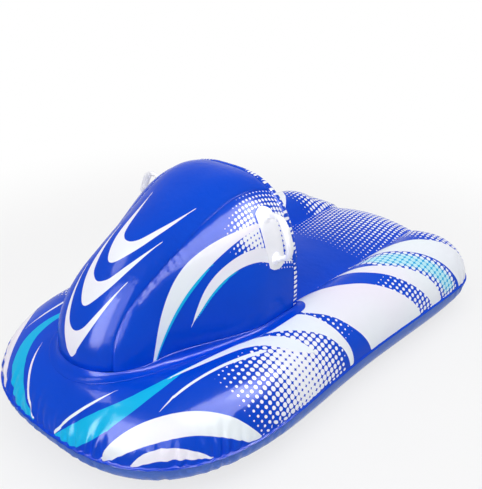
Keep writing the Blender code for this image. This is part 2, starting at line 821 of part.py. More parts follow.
def build_valve(name, matrix, sheet):
    """A welded-in valve on a sheet: local Z points out of the chamber, and its tethers lie toward +X."""
    frame = empty(name + "_place", matrix)
    neck_top = VALVE_FLANGE_THICKNESS + VALVE_NECK_HEIGHT
    body = turned(
        name + "_body",
        [
            (VALVE_BORE_RADIUS, neck_top),
            (VALVE_NECK_RADIUS, neck_top),
            (VALVE_NECK_RADIUS, VALVE_FLANGE_THICKNESS),
            (VALVE_FLANGE_RADIUS, VALVE_FLANGE_THICKNESS),
            (VALVE_FLANGE_RADIUS, 0.0),
            (VALVE_TAIL_RADIUS, 0.0),
            (VALVE_TAIL_RADIUS, -VALVE_TAIL_LENGTH),
            (VALVE_BORE_RADIUS, -VALVE_TAIL_LENGTH),
        ],
        "clear_vinyl",
        frame,
    )
    wall = (VALVE_BORE_RADIUS + VALVE_NECK_RADIUS) / 2
    lug_end = TETHER_REACH + TETHER_THICKNESS / 2
    lug_size = (lug_end - wall, TETHER_WIDTH, LUG_HEIGHT)
    lug_centre = ((lug_end + wall) / 2, 0.0, neck_top - GAP / 2 - LUG_HEIGHT / 2)
    join(body, box(name + "_lug", lug_size, lug_centre, None, frame))
    tail_wall = (VALVE_BORE_RADIUS + VALVE_TAIL_RADIUS) / 2
    tail_end = FLAP_REACH + FLAP_THICKNESS / 2
    tail_size = (tail_end - tail_wall, FLAP_TAB_WIDTH, LUG_HEIGHT)
    tail_centre = ((tail_end + tail_wall) / 2, 0.0, GAP / 2 - VALVE_TAIL_LENGTH + LUG_HEIGHT / 2)
    join(body, box(name + "_tail_lug", tail_size, tail_centre, None, frame))

    cap_axis = neck_top + GAP + TETHER_THICKNESS / 2
    hinge = empty(name + "_cap_axis", Matrix.Translation((TETHER_REACH, 0, cap_axis)), frame)
    cap = turned(
        name + "_cap",
        [
            (0.0, PLUG_THICKNESS),
            (PLUG_RADIUS, PLUG_THICKNESS),
            (PLUG_RADIUS, 0.0),
            (STEM_RADIUS, 0.0),
            (STEM_TIP_RADIUS, -STEM_LENGTH),
            (0.0, -STEM_LENGTH),
        ],
        "clear_vinyl",
        hinge,
    )
    cap.location = (-TETHER_REACH, 0.0, -TETHER_THICKNESS / 2)
    tongue(cap, name + "_tether", TETHER_REACH - PLUG_RADIUS / 2, TETHER_WIDTH, TETHER_THICKNESS, hinge)

    flap_axis = -VALVE_TAIL_LENGTH - GAP - FLAP_THICKNESS / 2
    root = empty(name + "_flap_axis", Matrix.Translation((FLAP_REACH, 0, flap_axis)), frame)
    flap = cone(name + "_flap", FLAP_RADIUS, FLAP_RADIUS, FLAP_THICKNESS, "clear_vinyl", root)
    flap.location = (-FLAP_REACH, 0.0, 0.0)
    tongue(flap, name + "_flap_tab", FLAP_REACH - FLAP_RADIUS / 2, FLAP_TAB_WIDTH, FLAP_THICKNESS, root)

    hole = cone(name + "_hole", FLAP_REACH + HOLE_MARGIN, FLAP_REACH + HOLE_MARGIN, CUT_OVERRUN, None, frame)
    cut(sheet, make_cutter(hole))


def tongue(owner, name, length, width, thickness, axis):
    """Adds a flat strip that runs from a piece to a round root on its hinge's axis."""
    root_trim = thickness / 4
    strip = box(name, (length, width, thickness - GAP / 2), (-length / 2, 0.0, 0.0), None, axis)
    root = cone(name + "_root", thickness / 2, thickness / 2, width - root_trim, None, axis)
    root.matrix_local = Matrix.Rotation(math.pi / 2, 4, "X")
    join(owner, strip)
    join(owner, root)


def build_valves(top, back):
    y = FRONT + BASE_VALVE_PLACE
    x = side_half_width(y) - EDGE_REACH
    crest = Vector((-x, y, TUBE_HEIGHT + GAP))
    build_valve("base_valve", standing(crest, Vector((1, 0, 0)), Vector((0, 0, 1))), top)
    low = COWL_VALVE_RISE - VALVE_FLANGE_RADIUS
    face = back_point(math.pi / 2, low / cowl_crest(COWL_REAR)).y
    centre = Vector((0.0, face + SHEET + GAP, FOOT_HEIGHT + COWL_VALVE_RISE))
    build_valve("cowl_valve", standing(centre, Vector((0, 0, 1)), Vector((0, 1, 0))), back)


def main():
    top = build_top_sheet()
    build_bottom_sheet()
    build_web("left_seat_web", 1)
    build_web("right_seat_web", -1)
    build_crown()
    back = build_back()
    build_skirt(deck_solid())
    for side, word in ((1, "left"), (-1, "right")):
        build_flank("cowl_" + word + "_panel", side)
        build_patch(word + "_handle_patch", side)
        build_grip(word + "_grip", side)
    build_valves(top, back)


clear_scene()
parts = new_collection("snow_sled")
cutters = new_collection("cutters")
main()
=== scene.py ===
# %% [markdown]
# # An air-filled snow sled, shaped like a snowmobile
#
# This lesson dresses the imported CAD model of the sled. The CAD gives every size and every joint.
# Here each vinyl sheet gets its welds, its puckers, its print and its gloss, and each moulded
# part gets its finish.
#
# The sled is two air chambers: a flat base with a tube down each side, and a tall cowl at the
# front. The nose points along -Y, the left side is +X, and the ground is at z = 0.

# %% Load the frame
import json
import math
from contextlib import contextmanager

import bpy
import numpy as np
from mathutils import Matrix, Vector
from mathutils.bvhtree import BVHTree

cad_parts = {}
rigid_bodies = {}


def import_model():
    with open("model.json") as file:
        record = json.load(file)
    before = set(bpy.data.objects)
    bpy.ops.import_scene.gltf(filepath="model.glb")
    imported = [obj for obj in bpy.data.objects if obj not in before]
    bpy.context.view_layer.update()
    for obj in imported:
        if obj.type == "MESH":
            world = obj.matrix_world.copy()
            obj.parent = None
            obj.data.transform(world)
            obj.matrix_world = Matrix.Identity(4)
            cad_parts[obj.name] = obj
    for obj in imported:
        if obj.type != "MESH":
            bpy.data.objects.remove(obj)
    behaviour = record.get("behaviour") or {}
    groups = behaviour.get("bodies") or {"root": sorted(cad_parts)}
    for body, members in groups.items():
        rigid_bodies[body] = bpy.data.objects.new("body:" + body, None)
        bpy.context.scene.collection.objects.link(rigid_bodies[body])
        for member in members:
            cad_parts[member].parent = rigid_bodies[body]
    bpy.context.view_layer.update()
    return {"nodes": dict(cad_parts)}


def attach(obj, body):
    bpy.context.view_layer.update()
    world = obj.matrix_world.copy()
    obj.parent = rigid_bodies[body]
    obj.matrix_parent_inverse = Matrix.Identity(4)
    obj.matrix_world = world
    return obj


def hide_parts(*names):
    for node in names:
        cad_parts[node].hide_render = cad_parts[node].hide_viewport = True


for thing in list(bpy.data.objects):
    bpy.data.objects.remove(thing)
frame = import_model()

# %% [markdown]
# ## The sled's own measures
#
# The looks have to lie exactly where the solids lie, so the same lengths are written down again,
# in metres: the outline, the height of the tubes, the grooves that the inner webs pull in, and
# the cowl's ramp and section.

# %% Measures of the base
LENGTH, WIDTH, WAIST = 1.50, 0.84, 0.810
FRONT, REAR = -LENGTH / 2, LENGTH / 2
NOSE_LENGTH, TAIL_LENGTH = 0.52, 0.22
NOSE_POWER, TAIL_POWER = 2.8, 2.4
SEAM_HEIGHT, TUBE_HEIGHT, EDGE_REACH = 0.100, 0.233, 0.146
SHEET, SEAM_LIP, GAP = 0.0010, 0.005, 0.0003
GROOVE_X, GROOVE_REACH, GROOVE_DEPTH = 0.165, 0.020, 0.055
GROOVE_START, GROOVE_RUN, GROOVE_POWER = 0.12, 0.45, 2.2
KEEL_GROOVE, SEAT_CROWN = 0.012, 0.022
print("base:", LENGTH, "by", WIDTH, "m, with tubes", TUBE_HEIGHT, "m high")

# %% Measures of the cowl
COWL_TIP, COWL_REAR = FRONT + 0.094, FRONT + 0.650
FOOT_HEIGHT = TUBE_HEIGHT + 0.008
COWL_FRONT_WIDTH, COWL_WIDTH = 0.292, 0.476
FLARE_START, FLARE_RUN = 0.14, 0.31
COWL_NOSE_LENGTH, COWL_NOSE_POWER = 0.155, 2.1
COWL_HEIGHT, COWL_SLOPE = 0.357, 0.42
PEAK_PLACE, PEAK_ROUND = 0.500, 0.075
SHOULDER, SHOULDER_POWER = 0.256, 2.4
FRONT_POWER, REAR_POWER = 2.4, 2.9
POWER_START, POWER_RUN = 0.26, 0.27
BACK_BULGE, BACK_POWER = 0.055, 3.0
CROWN_FRONT, CROWN_REAR_WIDTH, CROWN_DIP = 0.043, 0.296, 0.012
print("cowl:", round(COWL_REAR - COWL_TIP, 3), "m long and", COWL_WIDTH, "m wide")

# %% [markdown]
# ## Sums on whole arrays
#
# A superellipse is a circle whose corners can be made fuller. It gives the rounded nose, the
# rounded tail and the cowl's section. All helpers work on whole arrays of numbers at once, which
# is far quicker than a loop over thousands of points.

# %% Sums on whole arrays


def mix(low, high, share):
    return low + (high - low) * share


def smooth(value):
    held = np.clip(value, 0, 1)
    return held * held * (3 - 2 * held)


def superellipse(share, power):
    return np.maximum(0, 1 - np.abs(share) ** power) ** (1 / power)


def arc_pair(angle, power):
    """The sideways and lengthways shares of a superellipse's quarter."""
    across, along = np.maximum(0, np.sin(angle)), np.maximum(0, np.cos(angle))
    return across ** (2 / power), along ** (2 / power)


# %% [markdown]
# ## The outline of the base
#
# Seen from above, the base is a long shape with straight sides, a slight waist, a blunt round nose
# and a fuller tail. The sheets are laid out as an inner field, which the webs and the deck need,
# with rings round it for the rounded edge. The field's columns stand close at the grooves.

# %% Side of the outline
INNER, GROOVE, OUTER = 12, 4, 7
SIDE_COLUMNS = INNER + 2 * GROOVE + OUTER
NOSE_ROWS, SIDE_ROWS, TAIL_ROWS = 46, 44, 22
ROWS = NOSE_ROWS + SIDE_ROWS + TAIL_ROWS


def half_width(y):
    from_waist = np.clip(np.abs(y) / (LENGTH / 2 - TAIL_LENGTH), 0, 1)
    return mix(WAIST, WIDTH, smooth(from_waist)) / 2


def side_point(row, inset):
    """A point on the left side of the outline, set in by inset, counted from the nose's corner."""
    nose_turn = np.clip(row / NOSE_ROWS, 0, 1)
    side = np.clip((row - NOSE_ROWS) / SIDE_ROWS, 0, 1)
    tail_turn = np.clip((row - NOSE_ROWS - SIDE_ROWS) / TAIL_ROWS, 0, 1)
    nose_x, nose_y = arc_pair(np.pi / 4 * (1 + nose_turn), NOSE_POWER)
    tail_x, tail_y = arc_pair(np.pi / 4 * (2 - tail_turn), TAIL_POWER)
    y = mix(FRONT + NOSE_LENGTH, REAR - TAIL_LENGTH, side)
    y += (TAIL_LENGTH - inset) * tail_y - (NOSE_LENGTH - inset) * nose_y
    return (half_width(y) - inset) * nose_x * tail_x, y


# %% Field and rings


def column_x(left, side_x):
    """Sideways place of a column of the field."""
    past_seat, past_groove = left - INNER, left - INNER - 2 * GROOVE
    inner = GROOVE_X - GROOVE_REACH
    at_groove = inner + GROOVE_REACH * past_seat / GROOVE
    at_tube = mix(GROOVE_X + GROOVE_REACH, side_x, past_groove / OUTER)
    outer = np.where(past_groove <= 0, at_groove, at_tube)
    return np.where(past_seat <= 0, inner * left / INNER, outer)


def end_y(x, inset, is_nose):
    share = np.clip(np.abs(x) / (WIDTH / 2 - inset), 0, 1)
    nose = FRONT + NOSE_LENGTH - (NOSE_LENGTH - inset) * superellipse(share, NOSE_POWER)
    tail = REAR - TAIL_LENGTH + (TAIL_LENGTH - inset) * superellipse(share, TAIL_POWER)
    return np.where(is_nose, nose, tail)


def field_point(column, row):
    """Place in the inner field, column counted from the centre line."""
    left = np.abs(column)
    side_x, side_y = side_point(row, EDGE_REACH)
    first_x, first_y = side_point(np.zeros_like(row), EDGE_REACH)
    last_x, last_y = side_point(np.full_like(row, ROWS), EDGE_REACH)
    front = end_y(column_x(left, first_x), EDGE_REACH, True)
    rear = end_y(column_x(left, last_x), EDGE_REACH, False)
    inside_y = mix(front, rear, (side_y - first_y) / (last_y - first_y))
    y = np.where(left == SIDE_COLUMNS, side_y, inside_y)
    return np.copysign(column_x(left, side_x), column), y


def rim_point(column, row, inset):
    """Place on a ring, found from where its spoke leaves the field."""
    left = np.abs(column)
    side_x, side_y = side_point(row, inset)
    corner_x, _ = side_point(np.where(row == 0, 0, ROWS).astype(float), inset)
    x = np.where(left == SIDE_COLUMNS, side_x, column_x(left, corner_x))
    y = np.where(left == SIDE_COLUMNS, side_y, end_y(x, inset, row == 0))
    return np.copysign(x, column), y


print("the field has", 2 * SIDE_COLUMNS, "by", ROWS, "squares")

# %% Heights of deck and keel


def groove_share(y):
    return smooth((y - FRONT - GROOVE_START) / GROOVE_RUN)


def deck_height(x, y):
    """Outer height of the top sheet, away from its rounded edge."""
    across, depth = np.abs(x), GROOVE_DEPTH * groove_share(y)
    crown = SEAT_CROWN * groove_share(y) * (1 - (across / GROOVE_X) ** 2)
    up = np.clip((across - GROOVE_X) / (half_width(y) - EDGE_REACH - GROOVE_X), 0, 1)
    tube = TUBE_HEIGHT - depth * (1 - up) ** GROOVE_POWER
    return np.where(across < GROOVE_X, TUBE_HEIGHT - depth + crown, tube)


def keel_height(x, y):
    off = np.abs(np.abs(x) - GROOVE_X) / GROOVE_REACH
    return KEEL_GROOVE * groove_share(y) * np.maximum(0, 1 - off)


print("seat and groove are", deck_height(np.array([0.0, GROOVE_X]), 0.3).round(3), "m up")

# %% [markdown]
# ## Points that carry numbers
#
# A mesh can keep a number or a vector for each of its points, as an attribute. The sheets keep
# their place on the flat sheet, the way to their welds, and later the print.

# %% Points of a mesh


def read(layer, word, width=1, kind=np.float32):
    found = np.empty(len(layer) * width, kind)
    layer.foreach_get(word, found)
    return found.reshape(-1, width) if width > 1 else found


def places(obj):
    return read(obj.data.vertices, "co", 3, float)


def put(obj, co):
    obj.data.vertices.foreach_set("co", np.ascontiguousarray(co, np.float32).ravel())
    obj.data.update()


def kept(obj, name):
    layer = obj.data.attributes[name]
    return read(layer.data, *(("value", 1) if layer.data_type == "FLOAT" else ("vector", 3)))


def keep(obj, name, values):
    """Keeps one number, or one vector, for each point of a mesh."""
    values = np.ascontiguousarray(values, np.float32)
    kind, word = ("FLOAT", "value") if values.ndim == 1 else ("FLOAT_VECTOR", "vector")
    layer = obj.data.attributes.get(name) or obj.data.attributes.new(name, kind, "POINT")
    layer.data.foreach_set(word, values.ravel())


# %% [markdown]
# ## Working in edit mode
#
# Operators act on all that is selected, and loading leaves the CAD selected, so it is deselected
# first. A context manager goes into edit mode with a whole mesh selected, or with only the chosen
# points or edges, and comes back out of it.

# %% Edit mode


def deselect():
    if bpy.context.mode != "OBJECT":
        bpy.ops.object.mode_set(mode="OBJECT")
    bpy.ops.object.select_all(action="DESELECT")


def pick(obj):
    deselect()
    obj.select_set(True)
    bpy.context.view_layer.objects.active = obj


@contextmanager
def editing(obj, kind="VERT", chosen=None):
    pick(obj)
    bpy.ops.object.mode_set(mode="EDIT")
    bpy.ops.mesh.select_mode(type=kind)
    bpy.ops.mesh.select_all(action="SELECT" if chosen is None else "DESELECT")
    if chosen is not None:
        bpy.ops.object.mode_set(mode="OBJECT")
        parts = obj.data.vertices if kind == "VERT" else obj.data.edges
        parts.foreach_set("select", chosen)
        bpy.ops.object.mode_set(mode="EDIT")
    yield
    bpy.ops.object.mode_set(mode="OBJECT")


def selected_points(obj):
    return read(obj.data.vertices, "select", 1, bool)


def join_ends(obj):
    """Joins points of a sheet that lie in one place."""
    with editing(obj):
        bpy.ops.mesh.remove_doubles(threshold=GAP / 10)


def facing(obj, outward):
    """Turns a sheet's faces over if most of them look away from a direction."""
    area = sum((face.normal * face.area for face in obj.data.polygons), Vector())
    if area.dot(Vector(outward)) < 0:
        with editing(obj):
            bpy.ops.mesh.flip_normals()
    print(obj.name, "has", len(obj.data.polygons), "faces")


# %% [markdown]
# ## A sheet from a grid
#
# Every sheet starts as a grid primitive. Its points come row by row, so an array of rows and
# columns can say where each one goes, and which numbers it keeps.

# %% A sheet from a grid


def laid_grid(name, points, flat, **numbers):
    rows, columns = points.shape[0] - 1, points.shape[1] - 1
    deselect()
    bpy.ops.mesh.primitive_grid_add(x_subdivisions=columns, y_subdivisions=rows, size=2)
    sheet = bpy.context.object
    sheet.name = sheet.data.name = name
    put(sheet, points.reshape(-1, 3))
    keep(sheet, "flat", flat.reshape(-1, 3))
    for key, values in numbers.items():
        keep(sheet, key, values.ravel())
    return sheet


# %% [markdown]
# ## The welded sheets of the base
#
# Both sheets of the base are made alike. A grid primitive gives the field, and its open edge is
# extruded ring by ring, over the rounded edge and out to the welded lip. Each point also keeps its
# place on the flat sheet, as it was before welding. The print follows that, and doesn't stretch
# on the tubes' flanks.

# %% Way over the rounded edge
RINGS = 18


def travelled(points, axis):
    """Way gone along an array of points, from its start."""
    steps = np.linalg.norm(np.diff(points, axis=axis), axis=-1)
    start = np.zeros_like(np.take(steps, [0], axis=axis))
    return np.cumsum(np.concatenate([start, steps], axis=axis), axis=axis)


turns = np.linspace(0, np.pi / 2, 200)
edge_height = TUBE_HEIGHT - SEAM_HEIGHT
edge_line = np.stack([EDGE_REACH * np.sin(turns), edge_height * np.cos(turns)], 1)
edge_way = travelled(edge_line, 0)
EDGE_WAY = edge_way[-1]
print("way over the rounded edge:", round(float(EDGE_WAY), 3))

# %% Rings of a sheet
SIDE_FULLNESS, TAIL_EASE = 0.65, 0.6


def lower_power(y):
    """The tubes' lower half is fuller along the sides than at the nose."""
    at_side, at_tail = smooth((y + 0.45) / 0.30), smooth((y - 0.40) / 0.25)
    return 2 + SIDE_FULLNESS * at_side * (1 - TAIL_EASE * at_tail)


def ring_points(column, row, ring, height, lip_height, power):
    """Where a ring's points go, and where they were on the flat sheet. Rings are spaced evenly
    along the sheet, and not evenly in angle. The last ring is the lip."""
    angle = np.interp(min(ring, RINGS) / RINGS, edge_way / EDGE_WAY, turns)
    inner_x, inner_y = field_point(column, row)
    share = 2 / power(inner_y) if power else 1.0
    on_edge = ring <= RINGS
    inset = EDGE_REACH * (1 - np.sin(angle) ** share) if on_edge else -SEAM_LIP
    x, y = rim_point(column, row, inset)
    full = height(np.copysign(np.minimum(np.abs(x), np.abs(inner_x)), x), inner_y)
    rounded = mix(lip_height, full, np.cos(angle) ** share)
    z = rounded if on_edge else np.full_like(x, lip_height)
    flat_x, flat_y = rim_point(column, row, EDGE_REACH - ring / RINGS * EDGE_WAY)
    return np.stack([x, y, z], 1), np.stack([flat_x, flat_y, 0 * flat_x], 1)


# %% The two sheets


def base_sheet(name, height, lip_height, power=None):
    across = np.arange(2 * SIDE_COLUMNS + 1.0) - SIDE_COLUMNS
    column, row = np.meshgrid(across, np.arange(ROWS + 1.0))
    x, y = field_point(column, row)
    points = np.stack([x, y, height(x, y)], -1)
    sheet = laid_grid(name, points, points * (1, 1, 0), column=column, row=row, way=0 * x)
    for ring in range(1, RINGS + 2):
        with editing(sheet, "EDGE"):
            bpy.ops.mesh.select_all(action="DESELECT")
            bpy.ops.mesh.select_non_manifold()
            bpy.ops.mesh.extrude_edges_move()
        new = selected_points(sheet)
        co, flat, way = places(sheet), kept(sheet, "flat"), kept(sheet, "way")
        column, row = kept(sheet, "column")[new], np.clip(kept(sheet, "row"), 0, ROWS)[new]
        co[new], flat[new] = ring_points(column, row, ring, height, lip_height, power)
        way[new] = ring / RINGS * EDGE_WAY
        put(sheet, co)
        keep(sheet, "flat", flat)
        keep(sheet, "way", way)
    return sheet


top = base_sheet("printed_top_sheet", deck_height, SEAM_HEIGHT + GAP / 2 + SHEET)
bottom = base_sheet("plain_bottom_sheet", keel_height, SEAM_HEIGHT - GAP / 2 - SHEET, lower_power)
facing(top, (0, 0, 1))
facing(bottom, (0, 0, -1))

# %% [markdown]
# ## The cowl's shape
#
# The cowl is a ramp with a rounded peak, and its cross section is boxier at the rear. It could be
# lofted, but then its seams would have to be cut out. Written as sums, any point of it can be
# asked for, and each sheet is laid on it by itself.

# %% Half width, crest and section


def cowl_half(y):
    flare = smooth((y - COWL_TIP - FLARE_START) / FLARE_RUN)
    side = mix(COWL_FRONT_WIDTH, COWL_WIDTH, flare) / 2
    from_tip = np.clip(1 - (y - COWL_TIP) / COWL_NOSE_LENGTH, 0, 1)
    return side * superellipse(from_tip, COWL_NOSE_POWER)


def cowl_crest(y):
    from_peak = y - COWL_TIP - PEAK_PLACE
    ramp = COWL_HEIGHT - COWL_SLOPE * (np.hypot(from_peak, PEAK_ROUND) - PEAK_ROUND)
    return ramp * superellipse(np.clip(1 - (y - COWL_TIP) / SHOULDER, 0, 1), SHOULDER_POWER)


def section_power(y):
    return mix(FRONT_POWER, REAR_POWER, smooth((y - COWL_TIP - POWER_START) / POWER_RUN))


def cowl_height(x, y):
    share = np.clip(np.abs(x) / np.maximum(cowl_half(y), 1e-6), 0, 1)
    return FOOT_HEIGHT + cowl_crest(y) * superellipse(share, section_power(y))


def cowl_section(y, angle):
    """A point of the left flank: angle 0 is the foot, and a right angle is the ridge."""
    across, up = arc_pair(np.pi / 2 - angle, section_power(y))
    return np.stack([cowl_half(y) * across, y + 0 * across, FOOT_HEIGHT + cowl_crest(y) * up], -1)


def crown_half(y):
    """The crown's half width, which bows in a little between its corners."""
    corner = COWL_TIP + CROWN_FRONT
    share = np.clip((y - corner) / (COWL_REAR - corner), 0, 1)
    straight = mix(cowl_half(corner), CROWN_REAR_WIDTH / 2, share)
    return straight - CROWN_DIP * 4 * share * (1 - share)


print("the cowl's peak is", round(float(cowl_height(0.0, COWL_TIP + PEAK_PLACE)), 3), "m up")

# %% [markdown]
# ## The cowl's panels
#
# The cowl is four sheets: a crown from the nose over the ridge, a flank each side, and a back.
# Rows are closer together at the steep nose, and columns crowd toward the welds, where the
# creases are. Each panel keeps how far its points are from its welds, for the creases to come.

# %% Rows and columns
COWL_ROWS, CROWN_COLUMNS, FLANK_COLUMNS = 72, 44, 40
ROW_EVENNESS, CROWDING = 0.35, 0.75


def crowded(steps):
    """Shares from 0 to 1 that stand closer together at both ends."""
    share = np.linspace(0, 1, steps + 1)
    return mix(share, smooth(share), CROWDING)


even_rows = np.linspace(0, 1, COWL_ROWS + 1)
row_share = mix(1 - np.cos(np.pi / 2 * even_rows), even_rows, ROW_EVENNESS)
panel_y = mix(COWL_TIP + CROWN_FRONT, COWL_REAR, row_share)
print("the first row is", round(float(panel_y[1] - panel_y[0]) * 1000, 1), "mm deep")

# %% Crown
across = 2 * crowded(CROWN_COLUMNS) - 1
corner_half = cowl_half(COWL_TIP + CROWN_FRONT)
front_share = np.clip(np.abs(across * corner_half) / (COWL_FRONT_WIDTH / 2), 0, 1)
front_y = COWL_TIP + COWL_NOSE_LENGTH * (1 - superellipse(front_share, COWL_NOSE_POWER))
crown_y = mix(front_y[None, :], COWL_REAR, row_share[:, None])
crown_x = across[None, :] * crown_half(panel_y)[:, None]
crown_z = cowl_height(crown_x, crown_y)
crown_z[0] = FOOT_HEIGHT
crown_points = np.stack([crown_x, crown_y, crown_z], -1)
middle = CROWN_COLUMNS // 2
side_way = travelled(crown_points, 1)
over = travelled(crown_points[:, middle], 0)[:, None] + 0 * side_way
crown_flat = np.stack([side_way - side_way[:, [middle]], over, 0 * side_way], -1)
by_side = side_way[:, -1:] / 2 - np.abs(side_way - side_way[:, -1:] / 2)
by_rear = travelled(crown_points[::-1], 0)[::-1]
crown = laid_grid("crown_panel", crown_points, crown_flat, weld=np.minimum(by_side, by_rear),
                  side_weld=by_side, seam_way=np.where(by_side < by_rear, over, side_way))
facing(crown, (0, 0, 1))

# %% Flanks
seam_share = np.clip(crown_half(panel_y) / cowl_half(panel_y), 0, 1)
seam_angle = np.arccos(seam_share ** (section_power(panel_y) / 2))
flank_angle = seam_angle[:, None] * (1 - crowded(FLANK_COLUMNS)[None, :])
flank_points = cowl_section(panel_y[:, None], flank_angle)
flank_drop = travelled(flank_points, 1)
by_rear = travelled(flank_points[::-1], 0)[::-1]
seam_way = np.where(flank_drop < by_rear, flank_points[..., 1], 2 + flank_drop)
flank_flat = np.stack([flank_points[..., 1], -flank_drop, 0 * flank_drop], -1)
flanks = []
for side, word in ((1, "left"), (-1, "right")):
    flank = laid_grid(word + "_flank_panel", flank_points * (side, 1, 1), flank_flat,
                      weld=np.minimum(flank_drop, by_rear), side_weld=flank_drop, seam_way=seam_way)
    facing(flank, (side, 0, 0))
    flanks.append(flank)

# %% Back
BACK_RAYS, BACK_RINGS = 56, 26
FOOT_ZONE, FOOT_EASE = 0.12, 0.2


def back_point(angle, share):
    rim = cowl_section(np.full_like(angle, COWL_REAR), np.minimum(angle, np.pi - angle))
    x = np.copysign(rim[..., 0], np.cos(angle)) * share
    z = mix(FOOT_HEIGHT, rim[..., 2], share)
    return np.stack([x, COWL_REAR + GAP + BACK_BULGE * superellipse(share, BACK_POWER), z], -1)


ray = np.pi * np.linspace(0, 1, BACK_RAYS + 1)[None, :]
out = np.sin(np.pi / 2 * np.linspace(0, 1, BACK_RINGS + 1))[:, None]
back_points = back_point(ray + 0 * out, out + 0 * ray)
by_rim = travelled(back_points[::-1], 0)[::-1]
by_foot = (np.sin(ray) < FOOT_ZONE) * (1 - np.sin(ray) / FOOT_ZONE)
back = laid_grid("back_panel", back_points, back_points[..., [0, 2, 1]] * (1, 1, 0),
                 weld=by_rim + FOOT_EASE * by_foot, side_weld=1 + by_rim,
                 seam_way=4 + back_points[..., 0] + back_points[..., 2])
join_ends(back)
facing(back, (0, 1, 0))

# %% [markdown]
# ## The band that welds the cowl down
#
# A band runs round the cowl's foot. Its lower half lies flat on the deck and is welded to it, and
# its upper half turns up and meets the panels. A ray cast down on the deck says how high the
# welded half lies. Its outward ways are evened out, so that it goes round the corners in a curve.

# %% Line of the foot
BAND_POINTS, EVENINGS = 240, 8
nose = np.stack([crown_x[0, middle:-1], crown_y[0, middle:-1]], -1)
left = np.stack([cowl_half(panel_y), panel_y], -1)
share = np.sin(np.pi / 2 * np.linspace(1, 0, BACK_RINGS + 1))[1:]
half = np.concatenate([nose, left, back_point(np.zeros_like(share), share)[:, :2]])
loop = np.concatenate([half, half[-2:0:-1] * (-1, 1)])
gone = travelled(np.concatenate([loop, loop[:1]]), 0)
even = np.linspace(0, gone[-1], BAND_POINTS + 1)[:-1]
loop = np.stack([np.interp(even, gone, np.append(loop[:, k], loop[0, k])) for k in (0, 1)], -1)
along = np.roll(loop, -1, 0) - np.roll(loop, 1, 0)
outward = np.stack([along[:, 1], -along[:, 0]], -1) / np.linalg.norm(along, axis=1)[:, None]
for _ in range(EVENINGS):
    outward = (np.roll(outward, 1, 0) + 2 * outward + np.roll(outward, -1, 0)) / 4
outward /= np.linalg.norm(outward, axis=1)[:, None]
print("the foot is", round(float(gone[-1]), 3), "m round")

# %% The welded band
BAND_REACHES = (0.0, 0.0012, 0.004, 0.009, 0.014, 0.020, 0.024)
BAND_SINKS = (0.0, 0.34, 0.66, 0.90, 1.0, 1.0, 1.0)
OVER_DECK, UNDER_PANELS = 0.0012, 0.0004
deck_faces = [tuple(face.vertices) for face in top.data.polygons]
deck = BVHTree.FromPolygons([point.co.copy() for point in top.data.vertices], deck_faces)


def on_deck(x, y):
    return deck.ray_cast(Vector((x, y, 1.0)), Vector((0, 0, -1)))[0].z


rings = []
for reach, sink in zip(BAND_REACHES, BAND_SINKS):
    spot = loop + outward * reach
    low = np.array([on_deck(x, y) for x, y in spot]) + OVER_DECK
    rings.append(np.column_stack([spot, mix(FOOT_HEIGHT - UNDER_PANELS, low, sink)]))
band_points = np.stack(rings)
band_points = np.concatenate([band_points, band_points[:, :1]], 1)
band = laid_grid("welded_foot_band", band_points, band_points * (1, 1, 0))
join_ends(band)
facing(band, (0, 0, 1))

# %% [markdown]
# ## Webs inside the base
#
# Two upright strips of clear film join the top and bottom sheets and pull in the grooves beside
# the seat. They only show as the lines of those grooves, but they are there.

# %% Webs inside the base
WEB_STEPS, WEB_ROWS = 110, 8
WEB_END, WEB_FOOT, WEB_HEAD, WEB_WAVE = 0.001, 0.0015, 0.0020, 0.0006
webs = []
for side, word in ((1, "left"), (-1, "right")):
    ends = places(bpy.data.objects[word + "_seat_web"])[:, 1]
    web_y = np.linspace(ends.min() + WEB_END, ends.max() - WEB_END, WEB_STEPS + 1)[None, :]
    up = np.linspace(0, 1, WEB_ROWS + 1)[:, None]
    low, high = keel_height(GROOVE_X, web_y) + WEB_FOOT, deck_height(GROOVE_X, web_y) - WEB_HEAD
    near_weld = np.exp(-8 * up) + np.exp(-8 * (1 - up))
    wave = WEB_WAVE * near_weld * np.sin(web_y * 190 + np.sin(web_y * 47))
    web_points = np.stack([side * (GROOVE_X + wave), web_y + 0 * up, mix(low, high, up)], -1)
    web = laid_grid(word + "_web_strip", web_points, web_points[..., [1, 2, 0]])
    facing(web, (side, 0, 0))
    webs.append(web)

# %% [markdown]
# ## Round the sheets off
#
# One level of Subdivision Surface rounds every sheet off and gives the creases enough points.
# The corners of an open sheet stay where they are, so the panels still meet there.

# %% Round the sheets off


def apply_all(obj):
    pick(obj)
    for modifier in list(obj.modifiers):
        bpy.ops.object.modifier_apply(modifier=modifier.name)


for sheet in (top, bottom, crown, *flanks, back, band, *webs):
    surface = sheet.modifiers.new("refine", "SUBSURF")
    surface.levels = surface.render_levels = 1
    surface.boundary_smooth = "PRESERVE_CORNERS"
    apply_all(sheet)
    print(sheet.name, "now has", len(sheet.data.polygons), "faces")

# %% [markdown]
# ## Puckers along the rim
#
# The sheets are cut flat. Once air lifts them, the rim has more sheet than it needs wherever the
# outline turns, and the film gathers into puckers that run in from the weld. They are started
# here as a row of creases. The same row serves both sheets, because one weld holds them.

# %% Way round the rim
rim_turn = np.arange(-(ROWS + SIDE_COLUMNS * 2), ROWS + SIDE_COLUMNS * 2 + 1)


def rim_spoke(turn):
    """Column and row of a spoke, counted from the nose's middle, left positive."""
    step = np.abs(turn)
    row = np.clip(step - SIDE_COLUMNS, 0, ROWS)
    past_nose = np.where(row < ROWS, SIDE_COLUMNS, 2 * SIDE_COLUMNS + ROWS - step)
    return np.copysign(np.where(step <= SIDE_COLUMNS, step, past_nose), turn), row


